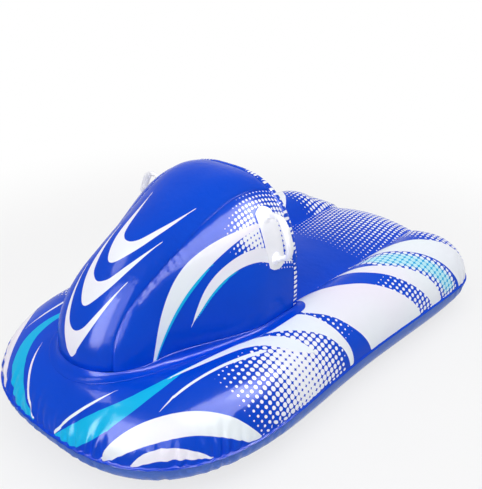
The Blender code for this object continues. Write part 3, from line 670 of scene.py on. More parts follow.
def turn_of(column, row):
    """The same count, found from a point's column and row."""
    left = np.abs(column)
    on_side = left > SIDE_COLUMNS - 0.01
    side = np.where(on_side, SIDE_COLUMNS + row, 2 * SIDE_COLUMNS + ROWS - left)
    return np.copysign(np.where(row < 0.01, left, side), column)


def thousandths(text):
    """Rows of numbers, from a text that gives them in thousandths."""
    return [tuple(float(word) / 1000 for word in row.split()) for row in text.split(",")]


def ramp(value, text):
    """Reads a value off a bent line through points, each given as place and height."""
    place, height = zip(*thousandths(text))
    return np.interp(value, place, height)


rim_x, rim_y = rim_point(*rim_spoke(rim_turn.astype(float)), 0.0)
rim_way = travelled(np.stack([rim_x, rim_y], 1), 0)
RIM_LENGTH = float(rim_way[-1])
gather = ramp(rim_y, "-750 1000, -580 1000, -360 550, -120 160, 420 140, 620 650, 750 850")
print("rim:", round(RIM_LENGTH, 2), "m round")

# %% A row of creases
PUCKER_SPACING, PUCKER_DEPTH, PUCKER_LENGTH = 0.023, 0.0125, 0.105


def crease_row(seed):
    """Place, depth, length and lean of each crease."""
    chance = np.random.RandomState(seed)
    place, made = 0.0, []
    while place < RIM_LENGTH - PUCKER_SPACING / 2:
        here = np.interp(place, rim_way, gather)
        depth = PUCKER_DEPTH * here * chance.uniform(0.35, 1.25)
        length = PUCKER_LENGTH * mix(0.45, 1, here) * chance.uniform(0.5, 1.15)
        made.append((place, depth, length, chance.uniform(-0.16, 0.16)))
        place += PUCKER_SPACING * mix(2.4, 1.0, here) * chance.uniform(0.7, 1.35)
    return made


rim_creases = crease_row(5)
print(len(rim_creases), "creases round the rim")

# %% Press the creases in
CREASE_WIDTH, CREASE_SPREAD = 0.0038, 0.055
RIDGE_SHARE, RIDGE_WIDTH = 0.42, 2.6
WELD_WAVE, WELD_PULL = 0.0011, 0.30


def bell(value):
    return np.exp(-0.5 * value**2)


def normals(obj):
    return read(obj.data.vertex_normals, "vector", 3, float)


def pucker(sheet, creases):
    """Presses the creases into a sheet. The weld itself gets a slight wave."""
    way, co, out = kept(sheet, "way").astype(float), places(sheet), normals(sheet)
    along = np.interp(turn_of(kept(sheet, "column"), kept(sheet, "row")), rim_turn, rim_way)
    from_weld = np.maximum(0, EDGE_WAY - way)
    press, pull = np.zeros(len(way)), np.zeros(len(way))
    for place, depth, length, lean in creases:
        off = along - place - lean * from_weld
        off -= RIM_LENGTH * np.rint(off / RIM_LENGTH)
        width = CREASE_WIDTH + CREASE_SPREAD * from_weld
        shape = bell(off / width) - RIDGE_SHARE * bell(off / width / RIDGE_WIDTH)
        rise = 1 - np.exp(-from_weld / 0.006)
        press += depth * shape * rise * (1 - smooth(from_weld / length))
        pull += depth * bell(off / 0.006) * np.exp(-from_weld / 0.008)
    turned = along / RIM_LENGTH * 2 * np.pi
    beat = np.sin(turned * 97 + 2.2 * np.sin(turned * 23))
    wave = WELD_WAVE * np.interp(along, rim_way, gather) * beat
    co -= out * press[:, None] + out * (1, 1, 0) * (pull * WELD_PULL)[:, None]
    co[:, 2] = np.maximum(co[:, 2] + wave * np.exp(-from_weld / 0.010), 0.0)
    put(sheet, co)
    print(sheet.name, "puckers up to", round(float(press.max()) * 1000, 1), "mm")


pucker(top, rim_creases)
pucker(bottom, rim_creases)

# %% [markdown]
# ## Air in the rims
#
# The creases above say where the film gathers. How it lies between them is left to the air: each
# rim is copied as a strip, held at the weld and at its inner edge, and a short cloth simulation
# pushes it out. Its rest shape is the sheet as it was cut flat, so it has the real rim's spare
# film. The sheet then takes over how far each point has moved.

# %% A strip of the rim
GIVE_FROM, HELD_RING, WELD_RING, TREMBLE = 0.070, 0.012, 0.001, 0.0003


def rim_strip(sheet):
    """A copy of a sheet's rim, shaken a little, that keeps its flat cut as a shape key. Extruded
    points are numbered anew on each run, so the shakes are dealt out by place."""
    inner = kept(sheet, "way") < GIVE_FROM - HELD_RING
    pick(sheet)
    bpy.ops.object.duplicate()
    strip = bpy.context.object
    strip.name = sheet.name + "_strip"
    with editing(strip, "VERT", inner):
        bpy.ops.mesh.delete(type="VERT")
    way, start = kept(strip, "way"), places(strip)
    free = np.flatnonzero((way > GIVE_FROM) & (way < EDGE_WAY - WELD_RING))
    free = free[np.lexsort([kept(strip, key)[free] for key in ("row", "column", "way")])]
    shake = np.random.RandomState(7).normal(0, TREMBLE, len(free))
    start[free] += normals(strip)[free] * shake[:, None]
    put(strip, start)
    strip.shape_key_add(name="Basis")
    cut = strip.shape_key_add(name="cut")
    cut.data.foreach_set("co", kept(strip, "flat").ravel())
    cut.value = 0
    held = strip.vertex_groups.new(name="held")
    held.add(np.setdiff1d(np.arange(len(way)), free).tolist(), 1.0, "REPLACE")
    print(strip.name, "has", len(way), "points,", len(free), "of them free")
    return strip, start, inner


# %% Blow the rims out
AIR_FRAMES = 12


def blown(sheet):
    """How far the air moves each point of a sheet's rim."""
    strip, start, inner = rim_strip(sheet)
    air = strip.modifiers.new("air", "CLOTH")
    film = air.settings
    film.quality, film.mass, film.air_damping, film.pin_stiffness = 4, 0.1, 2, 5
    film.tension_stiffness = film.compression_stiffness = 40
    film.shear_stiffness, film.bending_stiffness = 12, 0.1
    film.use_pressure, film.uniform_pressure_force = True, 5
    film.vertex_group_mass = "held"
    film.rest_shape_key = strip.data.shape_keys.key_blocks["cut"]
    film.effector_weights.gravity = 0
    air.collision_settings.use_collision = False
    air.point_cache.frame_start, air.point_cache.frame_end = 1, AIR_FRAMES
    for frame_number in range(1, AIR_FRAMES + 1):
        bpy.context.scene.frame_set(frame_number)
    lifted = strip.evaluated_get(bpy.context.evaluated_depsgraph_get())
    moved = np.zeros((len(inner), 3))
    moved[~inner] = places(lifted) - start
    bpy.data.objects.remove(strip)
    return moved


for sheet in (top, bottom):
    moved = blown(sheet)
    co = places(sheet) + moved
    co[:, 2] = np.maximum(co[:, 2], 0.0)
    put(sheet, co)
    most = float(np.linalg.norm(moved, axis=1).max()) * 1000
    print(sheet.name, "moved up to", round(most, 1), "mm")
bpy.context.scene.frame_set(1)

# %% [markdown]
# ## Welds of the cowl
#
# Crown, flanks and back meet in welded seams. The air rounds each panel off and leaves the seam
# lying in a shallow crease, with a thin fin of doubled film along its bottom. Close to the seam
# the film is gathered a little.

# %% Creases of the cowl
CREASE_DEPTH, CREASE_REACH = 0.0018, 0.0055
BULGE_DEPTH, BULGE_REACH = 0.0016, 0.020
GATHER_DEPTH = 0.0004


def crease(sheet):
    """Sinks a panel toward its welds, and gathers the film beside them."""
    weld, way = kept(sheet, "weld").astype(float), kept(sheet, "seam_way").astype(float)
    bulge = BULGE_DEPTH * np.exp(-kept(sheet, "side_weld") / BULGE_REACH)
    sunk = CREASE_DEPTH * np.exp(-weld / CREASE_REACH) + bulge
    beat = np.sin(way * 262 + 1.9 * np.sin(way * 61))
    beat += 0.6 * np.sin(way * 418 + 1.3 * np.sin(way * 97) + 1)
    gathered = GATHER_DEPTH * beat * (1 - np.exp(-weld / 0.004)) * np.exp(-weld / 0.016)
    put(sheet, places(sheet) - normals(sheet) * (sunk + gathered)[:, None])
    print(sheet.name, "sinks", round(float(sunk.max()) * 1000, 1), "mm at its welds")


for sheet in (crown, *flanks, back):
    crease(sheet)

# %% Fins of the cowl
FIN_HEIGHT, ON_WELD = 0.0018, 1e-5


def fin(sheet):
    """Stands the doubled film of a weld up along a panel's creased edges."""
    keep(sheet, "out", normals(sheet))
    ends = read(sheet.data.edges, "vertices", 2, np.int32)
    faces_at = np.bincount(read(sheet.data.loops, "edge_index", 1, np.int32), minlength=len(ends))
    chosen = (faces_at == 1) & (kept(sheet, "weld")[ends].max(1) < ON_WELD)
    with editing(sheet, "EDGE", chosen):
        bpy.ops.mesh.extrude_edges_move()
    risen, co = selected_points(sheet), places(sheet)
    co[risen] += kept(sheet, "out")[risen] * FIN_HEIGHT
    put(sheet, co)
    print(sheet.name, "has a fin on", int(chosen.sum()), "edges")


for sheet in (crown, *flanks):
    fin(sheet)

# %% [markdown]
# ## Drawing the print
#
# The real sheets are printed flat, before they are welded: stripes, chevrons and fields of dots
# in white and cyan on blue. Each stripe is drawn here as an outline through a few points of the
# flat sheet. Each point of the mesh then keeps its distance to the nearest outline, below zero
# inside it. A distance changes evenly from point to point, so the shader can cut a crisp edge
# from it, which stored colours could never give.

# %% Outlines


def curve_through(points, steps=14):
    """A smooth line through points, as a Catmull-Rom spline."""
    given = np.array(points, float)
    held = np.concatenate([[2 * given[0] - given[1]], given, [2 * given[-1] - given[-2]]])
    share = np.linspace(0, 1, steps, endpoint=False)[:, None]
    pieces = []
    for a, b, c, d in zip(held, held[1:], held[2:], held[3:]):
        curve = 2 * b + (c - a) * share + (2 * a - 5 * b + 4 * c - d) * share**2
        pieces.append((curve + (3 * b - a - 3 * c + d) * share**3) / 2)
    return np.concatenate([*pieces, given[-1:]])


def blade(one_edge, other_edge):
    """A closed outline between two smooth edges that meet at both ends."""
    return np.concatenate([curve_through(one_edge), curve_through(other_edge)[::-1]])


def stripe(points):
    """A closed outline round a smooth line, from rows of x, y and half width."""
    line = curve_through(points)
    middle, half = line[:, :2], np.maximum(line[:, 2:], 0)
    way = np.gradient(middle, axis=0)
    side = np.stack([-way[:, 1], way[:, 0]], 1) / np.linalg.norm(way, axis=1)[:, None]
    return np.concatenate([middle + side * half, (middle - side * half)[::-1]])


# %% Distance to an outline
OUTLINE_ZONE = 0.03


def around(line, spots, zone):
    """Which spots lie in the box round a line, made wider by a zone."""
    return np.flatnonzero(((spots > line.min(0) - zone) & (spots < line.max(0) + zone)).all(1))


def distance_to(outlines, spots):
    """Distance from each spot to the nearest of some closed outlines, below zero inside."""
    nearest = np.full(len(spots), 1.0)
    for outline in outlines:
        near = around(outline, spots, OUTLINE_ZONE)
        here = spots[near]
        best, inside = np.full(len(near), 1.0), np.zeros(len(near), bool)
        for start, end in zip(outline, np.roll(outline, -1, 0)):
            side = end - start
            length = side @ side
            if length < 1e-14:
                continue
            share = np.clip((here - start) @ side / length, 0, 1)
            best = np.minimum(best, np.hypot(*(here - start - share[:, None] * side).T))
            crosses = (start[1] > here[:, 1]) != (end[1] > here[:, 1])
            if side[1]:
                at_height = start[0] + (here[:, 1] - start[1]) / side[1] * side[0]
                inside ^= crosses & (here[:, 0] < at_height)
        nearest[near] = np.minimum(nearest[near], np.where(inside, -best, best))
    return nearest


# %% [markdown]
# ## Thin lines
#
# A thin line falls between the points of the mesh, so it has its own way: each point keeps how
# far it is to the left or right of the line's middle, and how wide the line is there. The thin
# end of a stripe is such a line, and so is the pointed tip of a blade.

# %% Middles of thin lines
THIN, TIP_REACH, TIP_HALF = 0.0065, 0.006, 0.0011


def thin_parts(rows):
    """The stretches of a stripe that are thinner than the mesh is fine."""
    line = curve_through(rows)
    thin = np.concatenate([[False], line[:, 2] < THIN, [False]])
    ends = np.flatnonzero(np.diff(thin.astype(int)))
    return [line[start:end] for start, end in zip(ends[::2], ends[1::2]) if end - start > 1]


def between(one_edge, other_edge, start=0.45):
    """The middle line of the pointed end of a blade, from a share of its length on."""
    here, there = curve_through(one_edge, 24), curve_through(other_edge, 60)
    here = here[int(len(here) * start) :]
    gaps = here[:, None] - there[None, :]
    apart = np.hypot(gaps[..., 0], gaps[..., 1])
    facing_point, half = there[apart.argmin(1)], apart.min(1) / 2
    rows = np.column_stack([(here + facing_point) / 2, half])[half < THIN]
    last = rows[-1] - rows[-4]
    tip = rows[-1] + last / np.hypot(*last[:2]) * (TIP_REACH, TIP_REACH, 0.0)
    rows[:, 2] = np.maximum(rows[:, 2], TIP_HALF)
    return np.concatenate([rows, [tip * (1, 1, 0)]])


# %% Way across a thin line
LINE_ZONE = 0.011


def line_offsets(lines, spots):
    """Signed way across to the nearest thin line, and that line's half width there."""
    best = np.full(len(spots), LINE_ZONE)
    offset, reach = best.copy(), np.full(len(spots), -LINE_ZONE)
    for line in lines:
        near = around(line[:, :2], spots, LINE_ZONE)
        here = spots[near]
        for start, end in zip(line, line[1:]):
            side = end[:2] - start[:2]
            length = np.hypot(*side)
            share = (here - start[:2]) @ side / length**2
            held = np.clip(share, 0, 1)
            way = np.hypot(*(here - start[:2] - held[:, None] * side).T)
            closer = way < best[near]
            found = near[closer]
            from_x, from_y = (here - start[:2]).T
            across = (side[0] * from_y - side[1] * from_x) / length
            past = np.maximum(0, np.abs(share - held)) * length
            best[found], offset[found] = way[closer], across[closer]
            reach[found] = (mix(start[2], end[2], held) - past)[closer]
    return offset, reach


# %% [markdown]
# ## Putting a print on a sheet
#
# Every sheet keeps the same numbers, so that one material serves them all: the distances to the
# white, cyan and mesh shapes, the size of the dots, and the way across the thin lines. A print
# that is the same on both sides is drawn once, on the left. Past the weld the film stays plain.

# %% Print on a sheet


def print_on(sheet, white=(), cyan=(), mesh=(), lines=(), dots=None, mirrored=False, past_weld=-1):
    spots = kept(sheet, "flat")[:, :2].astype(float)
    if mirrored:
        spots[:, 0] = np.abs(spots[:, 0])
    for name, outlines in (("white", white), ("cyan", cyan), ("mesh", mesh)):
        keep(sheet, name, np.maximum(distance_to(outlines, spots), past_weld))
    keep(sheet, "dots", (dots(*spots.T) if dots else np.zeros(len(spots))) * (past_weld < 0))
    offset, reach = line_offsets(lines, spots)
    keep(sheet, "line", offset)
    keep(sheet, "line_reach", np.minimum(reach, -past_weld))
    share = (kept(sheet, "white") < 0).mean()
    print(sheet.name, "is white on", round(float(share) * 100), "% of its points")


# %% [markdown]
# ## The print of the top sheet
#
# White stripes sweep round the nose and over the tubes, a cyan stripe frames the foot, and dots
# grow and shrink between the stripes. Each row of numbers below is one stripe: x, y and half
# width of its middle line, in millimetres on the flat sheet.

# %% Stripes of the top sheet
PRINT_END = 0.0025
sheet_stripes = [thousandths(rows) for rows in (
    "180 -826 6, 230 -746 20, 282 -660 28, 335 -582 29, 395 -524 27, 445 -490 20, 490 -462 10,"
    "520 -446 0",
    "272 -800 1, 305 -728 13, 350 -672 16, 395 -632 11, 440 -598 0",
    "42 -812 3, 85 -748 3.5, 120 -692 3, 148 -635 0",
    "262 -622 0, 259 -550 3, 262 -480 3.5, 271 -410 4.5, 288 -345 6, 304 -296 4",
    "208 -540 0, 218 -460 6, 230 -390 10, 247 -325 13, 272 -275 18, 310 -235 21, 348 -202 14,"
    "384 -172 0",
    "228 -290 2, 250 -205 26, 275 -152 34, 305 -120 32, 345 -94 22, 390 -73 15, 440 -56 11,"
    "530 -46 6",
    "160 118 0, 190 152 5, 225 190 14, 260 226 20, 300 265 22, 350 308 27, 400 348 29,"
    "450 378 27, 540 415 20",
    "160 276 0, 188 336 11, 215 382 25, 250 424 36, 300 475 44, 350 514 48, 400 550 54,"
    "450 582 60, 560 640 70",
)]
seat_flare = blade(
    thousandths(
        "150 -30, 205 -62, 258 -96, 285 -80, 310 -56, 340 -33, 380 -8, 420 18, 460 37, 530 55"),
    thousandths("150 -20, 200 18, 230 55, 260 100, 300 155, 350 205, 400 247, 450 283, 530 325"))
foot_stripe = stripe(thousandths(
    "24 -872 30, 60 -834 26, 96 -797 24.5, 134 -756 26, 168 -708 24, 195 -652 19, 209 -590 13,"
    "213 -530 8, 209 -450 0"))
mesh_band = stripe(thousandths(
    "160 214 0, 186 246 10, 215 276 25, 250 308 46, 300 357 46, 350 400 42, 400 435 40,"
    "450 460 41, 560 500 41"))
sheet_white = [stripe(rows) for rows in sheet_stripes] + [seat_flare]
sheet_lines = [part for rows in sheet_stripes for part in thin_parts(rows)]
print(len(sheet_white), "white shapes and", len(sheet_lines), "thin lines on the top sheet")

# %% Dots of the top sheet
BAND_START, BAND_END, SEAT_EDGE = 0.12, 0.42, 0.165


def sheet_dots(x, y):
    """Radius of the dots, as a share of their spacing: they swell and shrink along the tubes."""
    front = ramp(y, "-475 0, -450 200, -400 310, -360 390, -320 450, -280 520, -240 550,"
                 "-200 490, -160 430, -120 370, -85 270, -30 200, 30 0")
    fading = np.where(y > -0.075, ramp(x, "360 1000, 420 0"), 1)
    front = front * ramp(x, "262 0, 285 620, 330 1000") * fading
    band = ramp(x, "300 0, 340 240, 400 330, 500 400") * (y > BAND_START) * (y < BAND_END)
    tail = ramp(y, "500 0, 560 360, 700 440") * (x > SEAT_EDGE)
    seat = ramp(y, "300 0, 420 200, 600 340, 720 420") * ramp(x, "100 1000, 160 800, 165 0")
    return np.maximum(np.maximum(front, band), np.maximum(tail, seat))


print_on(top, sheet_white, [foot_stripe], [mesh_band], sheet_lines, sheet_dots, True,
         kept(top, "way") - (EDGE_WAY - PRINT_END))

# %% [markdown]
# ## The print of the cowl
#
# Three white chevrons climb the crown. Each flank has a white sweep edged in cyan, a smaller one
# below it, and dots that fade out toward the nose. The back is plain but for dots near
# its rim.

# %% Chevrons of the crown
MIDDLE = 0.004


def chevron(outer, inner):
    """A chevron, drawn on one side of the crown's middle and mirrored."""
    whole = []
    for half in (outer, inner):
        given = np.array(half)
        whole.append(np.concatenate([given[::-1] * (-1, 1), given[1:]]) + (MIDDLE, 0))
    return blade(*whole)


chevrons = [[thousandths(edge) for edge in edges] for edges in (
    ("0 20, 21 47, 45 100, 61.5 165, 72.5 236",
     "0 88, 17 94, 32 112, 51 158, 64 202, 72.5 236"),
    ("0 150, 20 166, 45 215, 60.5 278, 75.5 372",
     "0 215, 16 221, 31 237, 50 285, 64 330, 75.5 372"),
    ("0 268, 20 284, 43 333, 60 402, 77.5 497",
     "0 336, 16 341, 31 360, 50 412, 65 458, 77.5 497"),
)]
crown_white = [chevron(*edges) for edges in chevrons]
crown_lines = [between(*edges) * (side, 1, 1) + (MIDDLE, 0, 0)
               for edges in chevrons for side in (1, -1)]
print_on(crown, crown_white, lines=crown_lines)

# %% Sweeps of the flanks
sweep_top = thousandths(
    "-532 -202, -524 -174, -513 -140, -500 -110, -483 -84, -458 -61, -428 -46, -390 -40,"
    "-345 -46, -300 -58, -250 -74, -205 -85, -150 -100")
sweep_low = thousandths(
    "-532 -202, -514 -176, -500 -156, -476 -132, -446 -112, -410 -98, -370 -91, -320 -90,"
    "-260 -93, -205 -98, -150 -100")
small_top = thousandths(
    "-412 -182, -395 -152, -370 -128, -335 -118, -285 -122, -235 -136, -185 -158, -95 -205")
small_low = thousandths(
    "-412 -182, -388 -167, -358 -152, -320 -147, -275 -155, -225 -175, -175 -200, -95 -205")


def cyan_edge(low_edge, most):
    """A narrow blade below a sweep, widest in its middle and closed at both ends."""
    edge = low_edge[:-3]
    share = np.linspace(0, 1, len(edge))
    lowered = [(y, z - most * math.sin(math.pi * s) ** 0.5) for (y, z), s in zip(edge, share)]
    return blade(edge, lowered)


flank_white = [blade(sweep_top, sweep_low), blade(small_top, small_low)]
flank_cyan = [cyan_edge(sweep_low, 0.011), cyan_edge(small_low, 0.008)]
flank_lines = [between(sweep_top[::-1], sweep_low[::-1], 0.8),
               between(small_top[::-1], small_low[::-1], 0.75)]
print("the upper sweep is", round(float(np.ptp(flank_white[0][:, 0])), 3), "m long")

# %% Dots of the flanks and the back
PATCH_PLACE, PATCH_HALF, PATCH_MARGIN = (-0.1675, -0.115), (0.022, 0.058), 0.008
RIM_DOT, RIM_FADE = 0.34, 0.09


def flank_dots(y, z):
    """Dots that leave the white patch of the handle free."""
    size = ramp(-z, "0 100, 7.5 170, 22 270, 36 340, 60 400, 110 560, 140 500, 200 300, 240 0")
    start = mix(-0.235, -0.300, np.clip(-z / 0.05, 0, 1)) + np.maximum(0, -z - 0.11) * 0.9
    off_y = np.maximum(0, np.abs(y - PATCH_PLACE[0]) - PATCH_HALF[0])
    off_z = np.maximum(0, np.abs(z - PATCH_PLACE[1]) - PATCH_HALF[1])
    fading = np.clip((y - start) / 0.055, 0, 1)
    return size * fading * (np.hypot(off_y, off_z) > PATCH_MARGIN)


def back_dots(x, z):
    return RIM_DOT * np.clip(1 - (cowl_height(x, COWL_REAR) - z) / RIM_FADE, 0, 1)


for flank in flanks:
    print_on(flank, flank_white, flank_cyan, lines=flank_lines, dots=flank_dots)
print_on(back, dots=back_dots)
print_on(band)

# %% [markdown]
# ## Finishes
#
# Every finish here is a small network of shader nodes. To keep the sums readable, a number that
# varies over the surface is wrapped in a class, so that a plain Python sum adds its Math nodes.
# A second class adds any other node through one method. The studio's world uses it too.

# %% Numbers that vary


class Amount:
    """A number that varies over a surface. Sums on it add Math nodes."""

    def __init__(self, nodes, socket):
        self.nodes, self.socket = nodes, socket

    def maths(self, operation, *others):
        sockets = dict(enumerate([self, *others]))
        made = self.nodes.node("ShaderNodeMath", {"operation": operation}, sockets)
        return Amount(self.nodes, made.outputs[0])

    def __add__(self, other):
        return self.maths("ADD", other)

    def __sub__(self, other):
        return self.maths("SUBTRACT", other)

    def __rsub__(self, other):
        return (self * -1) + other

    def __mul__(self, other):
        return self.maths("MULTIPLY", other)

    def __neg__(self):
        return self * -1

    __radd__, __rmul__ = __add__, __mul__

    def over(self, start, end):
        """0 below start, 1 above end, with a soft step between."""
        sockets = {0: self, 1: start, 2: end, 3: 0.0, 4: 1.0}
        soft = {"interpolation_type": "SMOOTHSTEP"}
        return Amount(self.nodes, self.nodes.node("ShaderNodeMapRange", soft, sockets).outputs[0])


# %% Nodes and finishes


class Nodes:
    """A tree of shader nodes, with a single method that adds any node."""

    def __init__(self, tree):
        self.tree = tree

    def node(self, kind, settings=None, sockets=None):
        made = self.tree.nodes.new(kind)
        for key, value in (settings or {}).items():
            setattr(made, key, value)
        for key, value in (sockets or {}).items():
            self.feed(made.inputs[key], value)
        return made

    def feed(self, socket, value):
        if isinstance(value, Amount):
            value = value.socket
        if isinstance(value, bpy.types.NodeSocket):
            self.tree.links.new(value, socket)
        else:
            socket.default_value = value


class Finish(Nodes):
    """One material, made of its Principled shader and what feeds it."""

    def __init__(self, name):
        self.material = bpy.data.materials.new(name)
        self.material.use_nodes = True
        super().__init__(self.material.node_tree)
        self.shader = self.tree.nodes["Principled BSDF"]

    def attribute(self, name, part="Fac"):
        return self.node("ShaderNodeAttribute", {"attribute_name": name}).outputs[part]

    def amount(self, name):
        return Amount(self, self.attribute(name))

    def noise(self, scale, detail):
        place = self.node("ShaderNodeTexCoord").outputs["Object"]
        sockets = {"Vector": place, "Scale": scale, "Detail": detail}
        return Amount(self, self.node("ShaderNodeTexNoise", {}, sockets).outputs["Fac"])

    def tint(self, share, low, high):
        """A colour between two, by share."""
        sockets = {0: share, 6: low, 7: high}
        return self.node("ShaderNodeMix", {"data_type": "RGBA"}, sockets).outputs[2]

    def bump(self, height, strength, distance, before=None):
        sockets = {"Height": height, "Strength": strength, "Distance": distance}
        if before is not None:
            sockets["Normal"] = before
        return self.node("ShaderNodeBump", {}, sockets).outputs["Normal"]

    def set(self, **sockets):
        for key, value in sockets.items():
            self.feed(self.shader.inputs[key.replace("_", " ")], value)


# %% [markdown]
# ## Printed and plain vinyl
#
# The film is thin soft vinyl with a clear gloss. The print is cut out of the kept distances: a
# step across zero gives an edge that is half a millimetre soft, as ink is. Dots come from the
# way to the nearest point of a grid on the flat sheet, set against the dots' size. The underside
# is plain film in a greyer blue. Slow and quick ripples bend the mirror images a little.

# %% Colours


def linear(*levels):
    """A colour as a picture program gives it, in the shader's own scale."""
    shares = [level / 255 for level in levels]
    return [((v + 0.055) / 1.055) ** 2.4 if v > 0.04045 else v / 12.92 for v in shares] + [1.0]


# The second blue is painted shade: a darker copy of the film's blue.
BLUE, SHADED_BLUE = linear(0, 73, 208), linear(0, 50, 170)
CYAN, PALE_CYAN = linear(10, 178, 226), linear(150, 226, 240)
# The second periwinkle is painted shade: a darker copy of the underside's colour.
PERIWINKLE, SHADED_PERIWINKLE = linear(84, 118, 196), linear(64, 98, 184)
WHITE = linear(240, 241, 247)
# These two whites are the white ink with painted reflection tints, one lavender and one cyan.
LAVENDER_REFLECTION_WHITE, CYAN_REFLECTION_WHITE = linear(237, 232, 245), linear(233, 240, 245)
print("blue in the shader's scale:", [round(v, 3) for v in BLUE[:3]])

# %% Gloss of the film


def gloss(finish, skin):
    """The gloss that all the film shares: a clear skin over ripples and a fine grain."""
    ripples = finish.noise(9.0, 1.0) * 0.75 + finish.noise(42.0, 2.0) * 0.25
    normal = finish.bump(ripples, 0.25, 0.02)
    normal = finish.bump(finish.noise(900.0, 1.0), 0.04, 0.001, normal)
    finish.set(Roughness=0.17 + finish.noise(25.0, 3.0) * 0.10, Normal=normal)
    finish.set(Specular_IOR_Level=0.03, Coat_Weight=skin, Coat_Roughness=0.10)


plain = Finish("plain_vinyl")
# Noise mixes painted shade into the underside's periwinkle here and there, at random.
plain.set(Base_Color=plain.tint(plain.noise(4.0, 2.0) * 0.6, PERIWINKLE, SHADED_PERIWINKLE))
gloss(plain, 0.06)
print(plain.material.name, "has", len(plain.tree.nodes), "nodes")

# %% Printed vinyl
CRISP = 0.0004


def inside(finish, name, start=-CRISP, end=CRISP):
    """1 inside a printed shape and 0 outside it."""
    return (-finish.amount(name)).over(start, end)


def from_dot(finish, across, up):
    """Way to the middle of the nearest dot, as a share of the dots' spacing."""
    flat = finish.attribute("flat", "Vector")
    parts = []
    for way in (across, up):
        sockets = {0: flat, 1: (*way, 0.0)}
        dot = finish.node("ShaderNodeVectorMath", {"operation": "DOT_PRODUCT"}, sockets)
        parts.append(Amount(finish, dot.outputs["Value"]).maths("FRACT") - 0.5)
    return (parts[0] * parts[0] + parts[1] * parts[1]).maths("SQRT")


def printed_vinyl(name, across, up, degrees):
    """Printed film, with dots this far apart and turned by so many degrees."""
    turn = math.radians(degrees)
    ways = ((math.cos(turn) / across, math.sin(turn) / across),
            (-math.sin(turn) / up, math.cos(turn) / up))
    finish = Finish(name)
    # Slow noise mixes painted shade into the printed film's blue here and there, at random.
    colour = finish.tint(finish.noise(3.5, 2.0).over(0.25, 0.75) * 0.35, BLUE, SHADED_BLUE)
    core, mesh = inside(finish, "mesh", 0.004, 0.030), inside(finish, "mesh")
    dots = finish.amount("dots").maths("MAXIMUM", mesh * (0.40 + core * 0.07))
    colour = finish.tint(mesh * core * 0.85, colour, CYAN)
    colour = finish.tint(inside(finish, "cyan"), colour, CYAN)
    dotted = (dots - from_dot(finish, *ways)).over(-0.02, 0.02) * dots.over(0.06, 0.10)
    colour = finish.tint(dotted, colour, finish.tint(mesh * core * 0.7, WHITE, PALE_CYAN))
    line = finish.amount("line_reach") - finish.amount("line").maths("ABSOLUTE")
    white = (-finish.amount("white")).maths("MAXIMUM", line).over(-CRISP, CRISP)
    # The white ink drifts at random between the two tints: real ink, with painted reflection tints.
    ink_with_painted_tint = finish.tint(finish.noise(2.6, 1.0).over(0.35, 0.65), LAVENDER_REFLECTION_WHITE, CYAN_REFLECTION_WHITE)
    finish.set(Base_Color=finish.tint(white, colour, ink_with_painted_tint))
    gloss(finish, 0.11 - white * 0.06)
    print(name, "has", len(finish.tree.nodes), "nodes")
    return finish.material


sheet_vinyl = printed_vinyl("printed_vinyl_sheet", 0.0170, 0.0170, 9)
cowl_vinyl = printed_vinyl("printed_vinyl_cowl", 0.0110, 0.0134, 0)

# %% [markdown]
# ## Moulded and clear vinyl
#
# The handles and the valves are soft mouldings, satin from the mould's own grain. Webs and check
# flaps are clear film. The CAD nodes keep their shape and only get these finishes.

# %% Moulded and clear vinyl


def moulded_vinyl(name, colour, shade):
    finish = Finish(name)
    finish.set(Base_Color=finish.tint(finish.noise(60.0, 3.0) * 0.6, colour, shade))
    finish.set(Roughness=0.34 + finish.noise(160.0, 2.0) * 0.14)
    finish.set(Normal=finish.bump(finish.noise(700.0, 2.0), 0.12, 0.0006))
    return finish.material


handle_vinyl = moulded_vinyl("white_moulded_vinyl", linear(238, 238, 242), linear(222, 224, 232))
valve_vinyl = moulded_vinyl("valve_moulded_vinyl", linear(226, 232, 240), linear(206, 214, 226))
clear = Finish("clear_vinyl_film")
cloud = clear.tint(clear.noise(20.0, 2.0), linear(222, 230, 240), linear(205, 216, 232))
clear.set(Base_Color=cloud, Transmission_Weight=0.6)
clear.set(Roughness=0.12 + clear.noise(80.0, 2.0) * 0.10)
finish_of = {"patch": handle_vinyl, "grip": handle_vinyl, "valve_body": valve_vinyl,
             "valve_cap": valve_vinyl, "valve_flap": clear.material, "web": clear.material}
for node in sorted(frame["nodes"]):
    for word, material in finish_of.items():
        if word in node:
            solid = bpy.data.objects[node]
            solid.data.materials.clear()
            solid.data.materials.append(material)
            print(node, "is finished in", material.name)

# %% [markdown]
# ## Dress the sheets
#
# Each sheet gets its finish and its thickness. It rides on the sled's body and stands for one CAD
# node.

# %% Dress the sheets
FILM = 0.0008
dresses = (
    (top, "top_sheet", "printed_vinyl", sheet_vinyl),
    (bottom, "bottom_sheet", "plain_vinyl", plain.material),
    (crown, "cowl_crown_panel", "printed_vinyl", cowl_vinyl),
    (flanks[0], "cowl_left_panel", "printed_vinyl", cowl_vinyl),
    (flanks[1], "cowl_right_panel", "printed_vinyl", cowl_vinyl),
    (back, "cowl_back_panel", "printed_vinyl", cowl_vinyl),
    (band, "cowl_skirt_band", "printed_vinyl", cowl_vinyl),
    (webs[0], "left_seat_web", "clear_vinyl", clear.material),
    (webs[1], "right_seat_web", "clear_vinyl", clear.material),
)
for sheet, node, slot, material in dresses:
    sheet.data.materials.append(material)
    wall = sheet.modifiers.new("wall", "SOLIDIFY")
    wall.thickness, wall.offset = FILM, -1.0
    apply_all(sheet)
    bpy.ops.object.shade_smooth()
    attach(sheet, "sled")
    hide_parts(node)
    print(sheet.name, "stands for", node)

# %% [markdown]
# ## Camera
#
# The camera stands where the photo was taken from. Its place was fitted to the outline of the
# rim, the foot and the ridge. The sled isn't in the middle of the picture, so the camera looks a
# little to the side and below what it turns about.

# %% Camera
AZIMUTH, ELEVATION, DISTANCE = 40.66, 29.95, 2.2465
FOCAL_PIXELS, PICTURE_PIXELS, SENSOR = 740, 489, 36
PAN_PIXELS, TILT_PIXELS = 9.93, 48.27


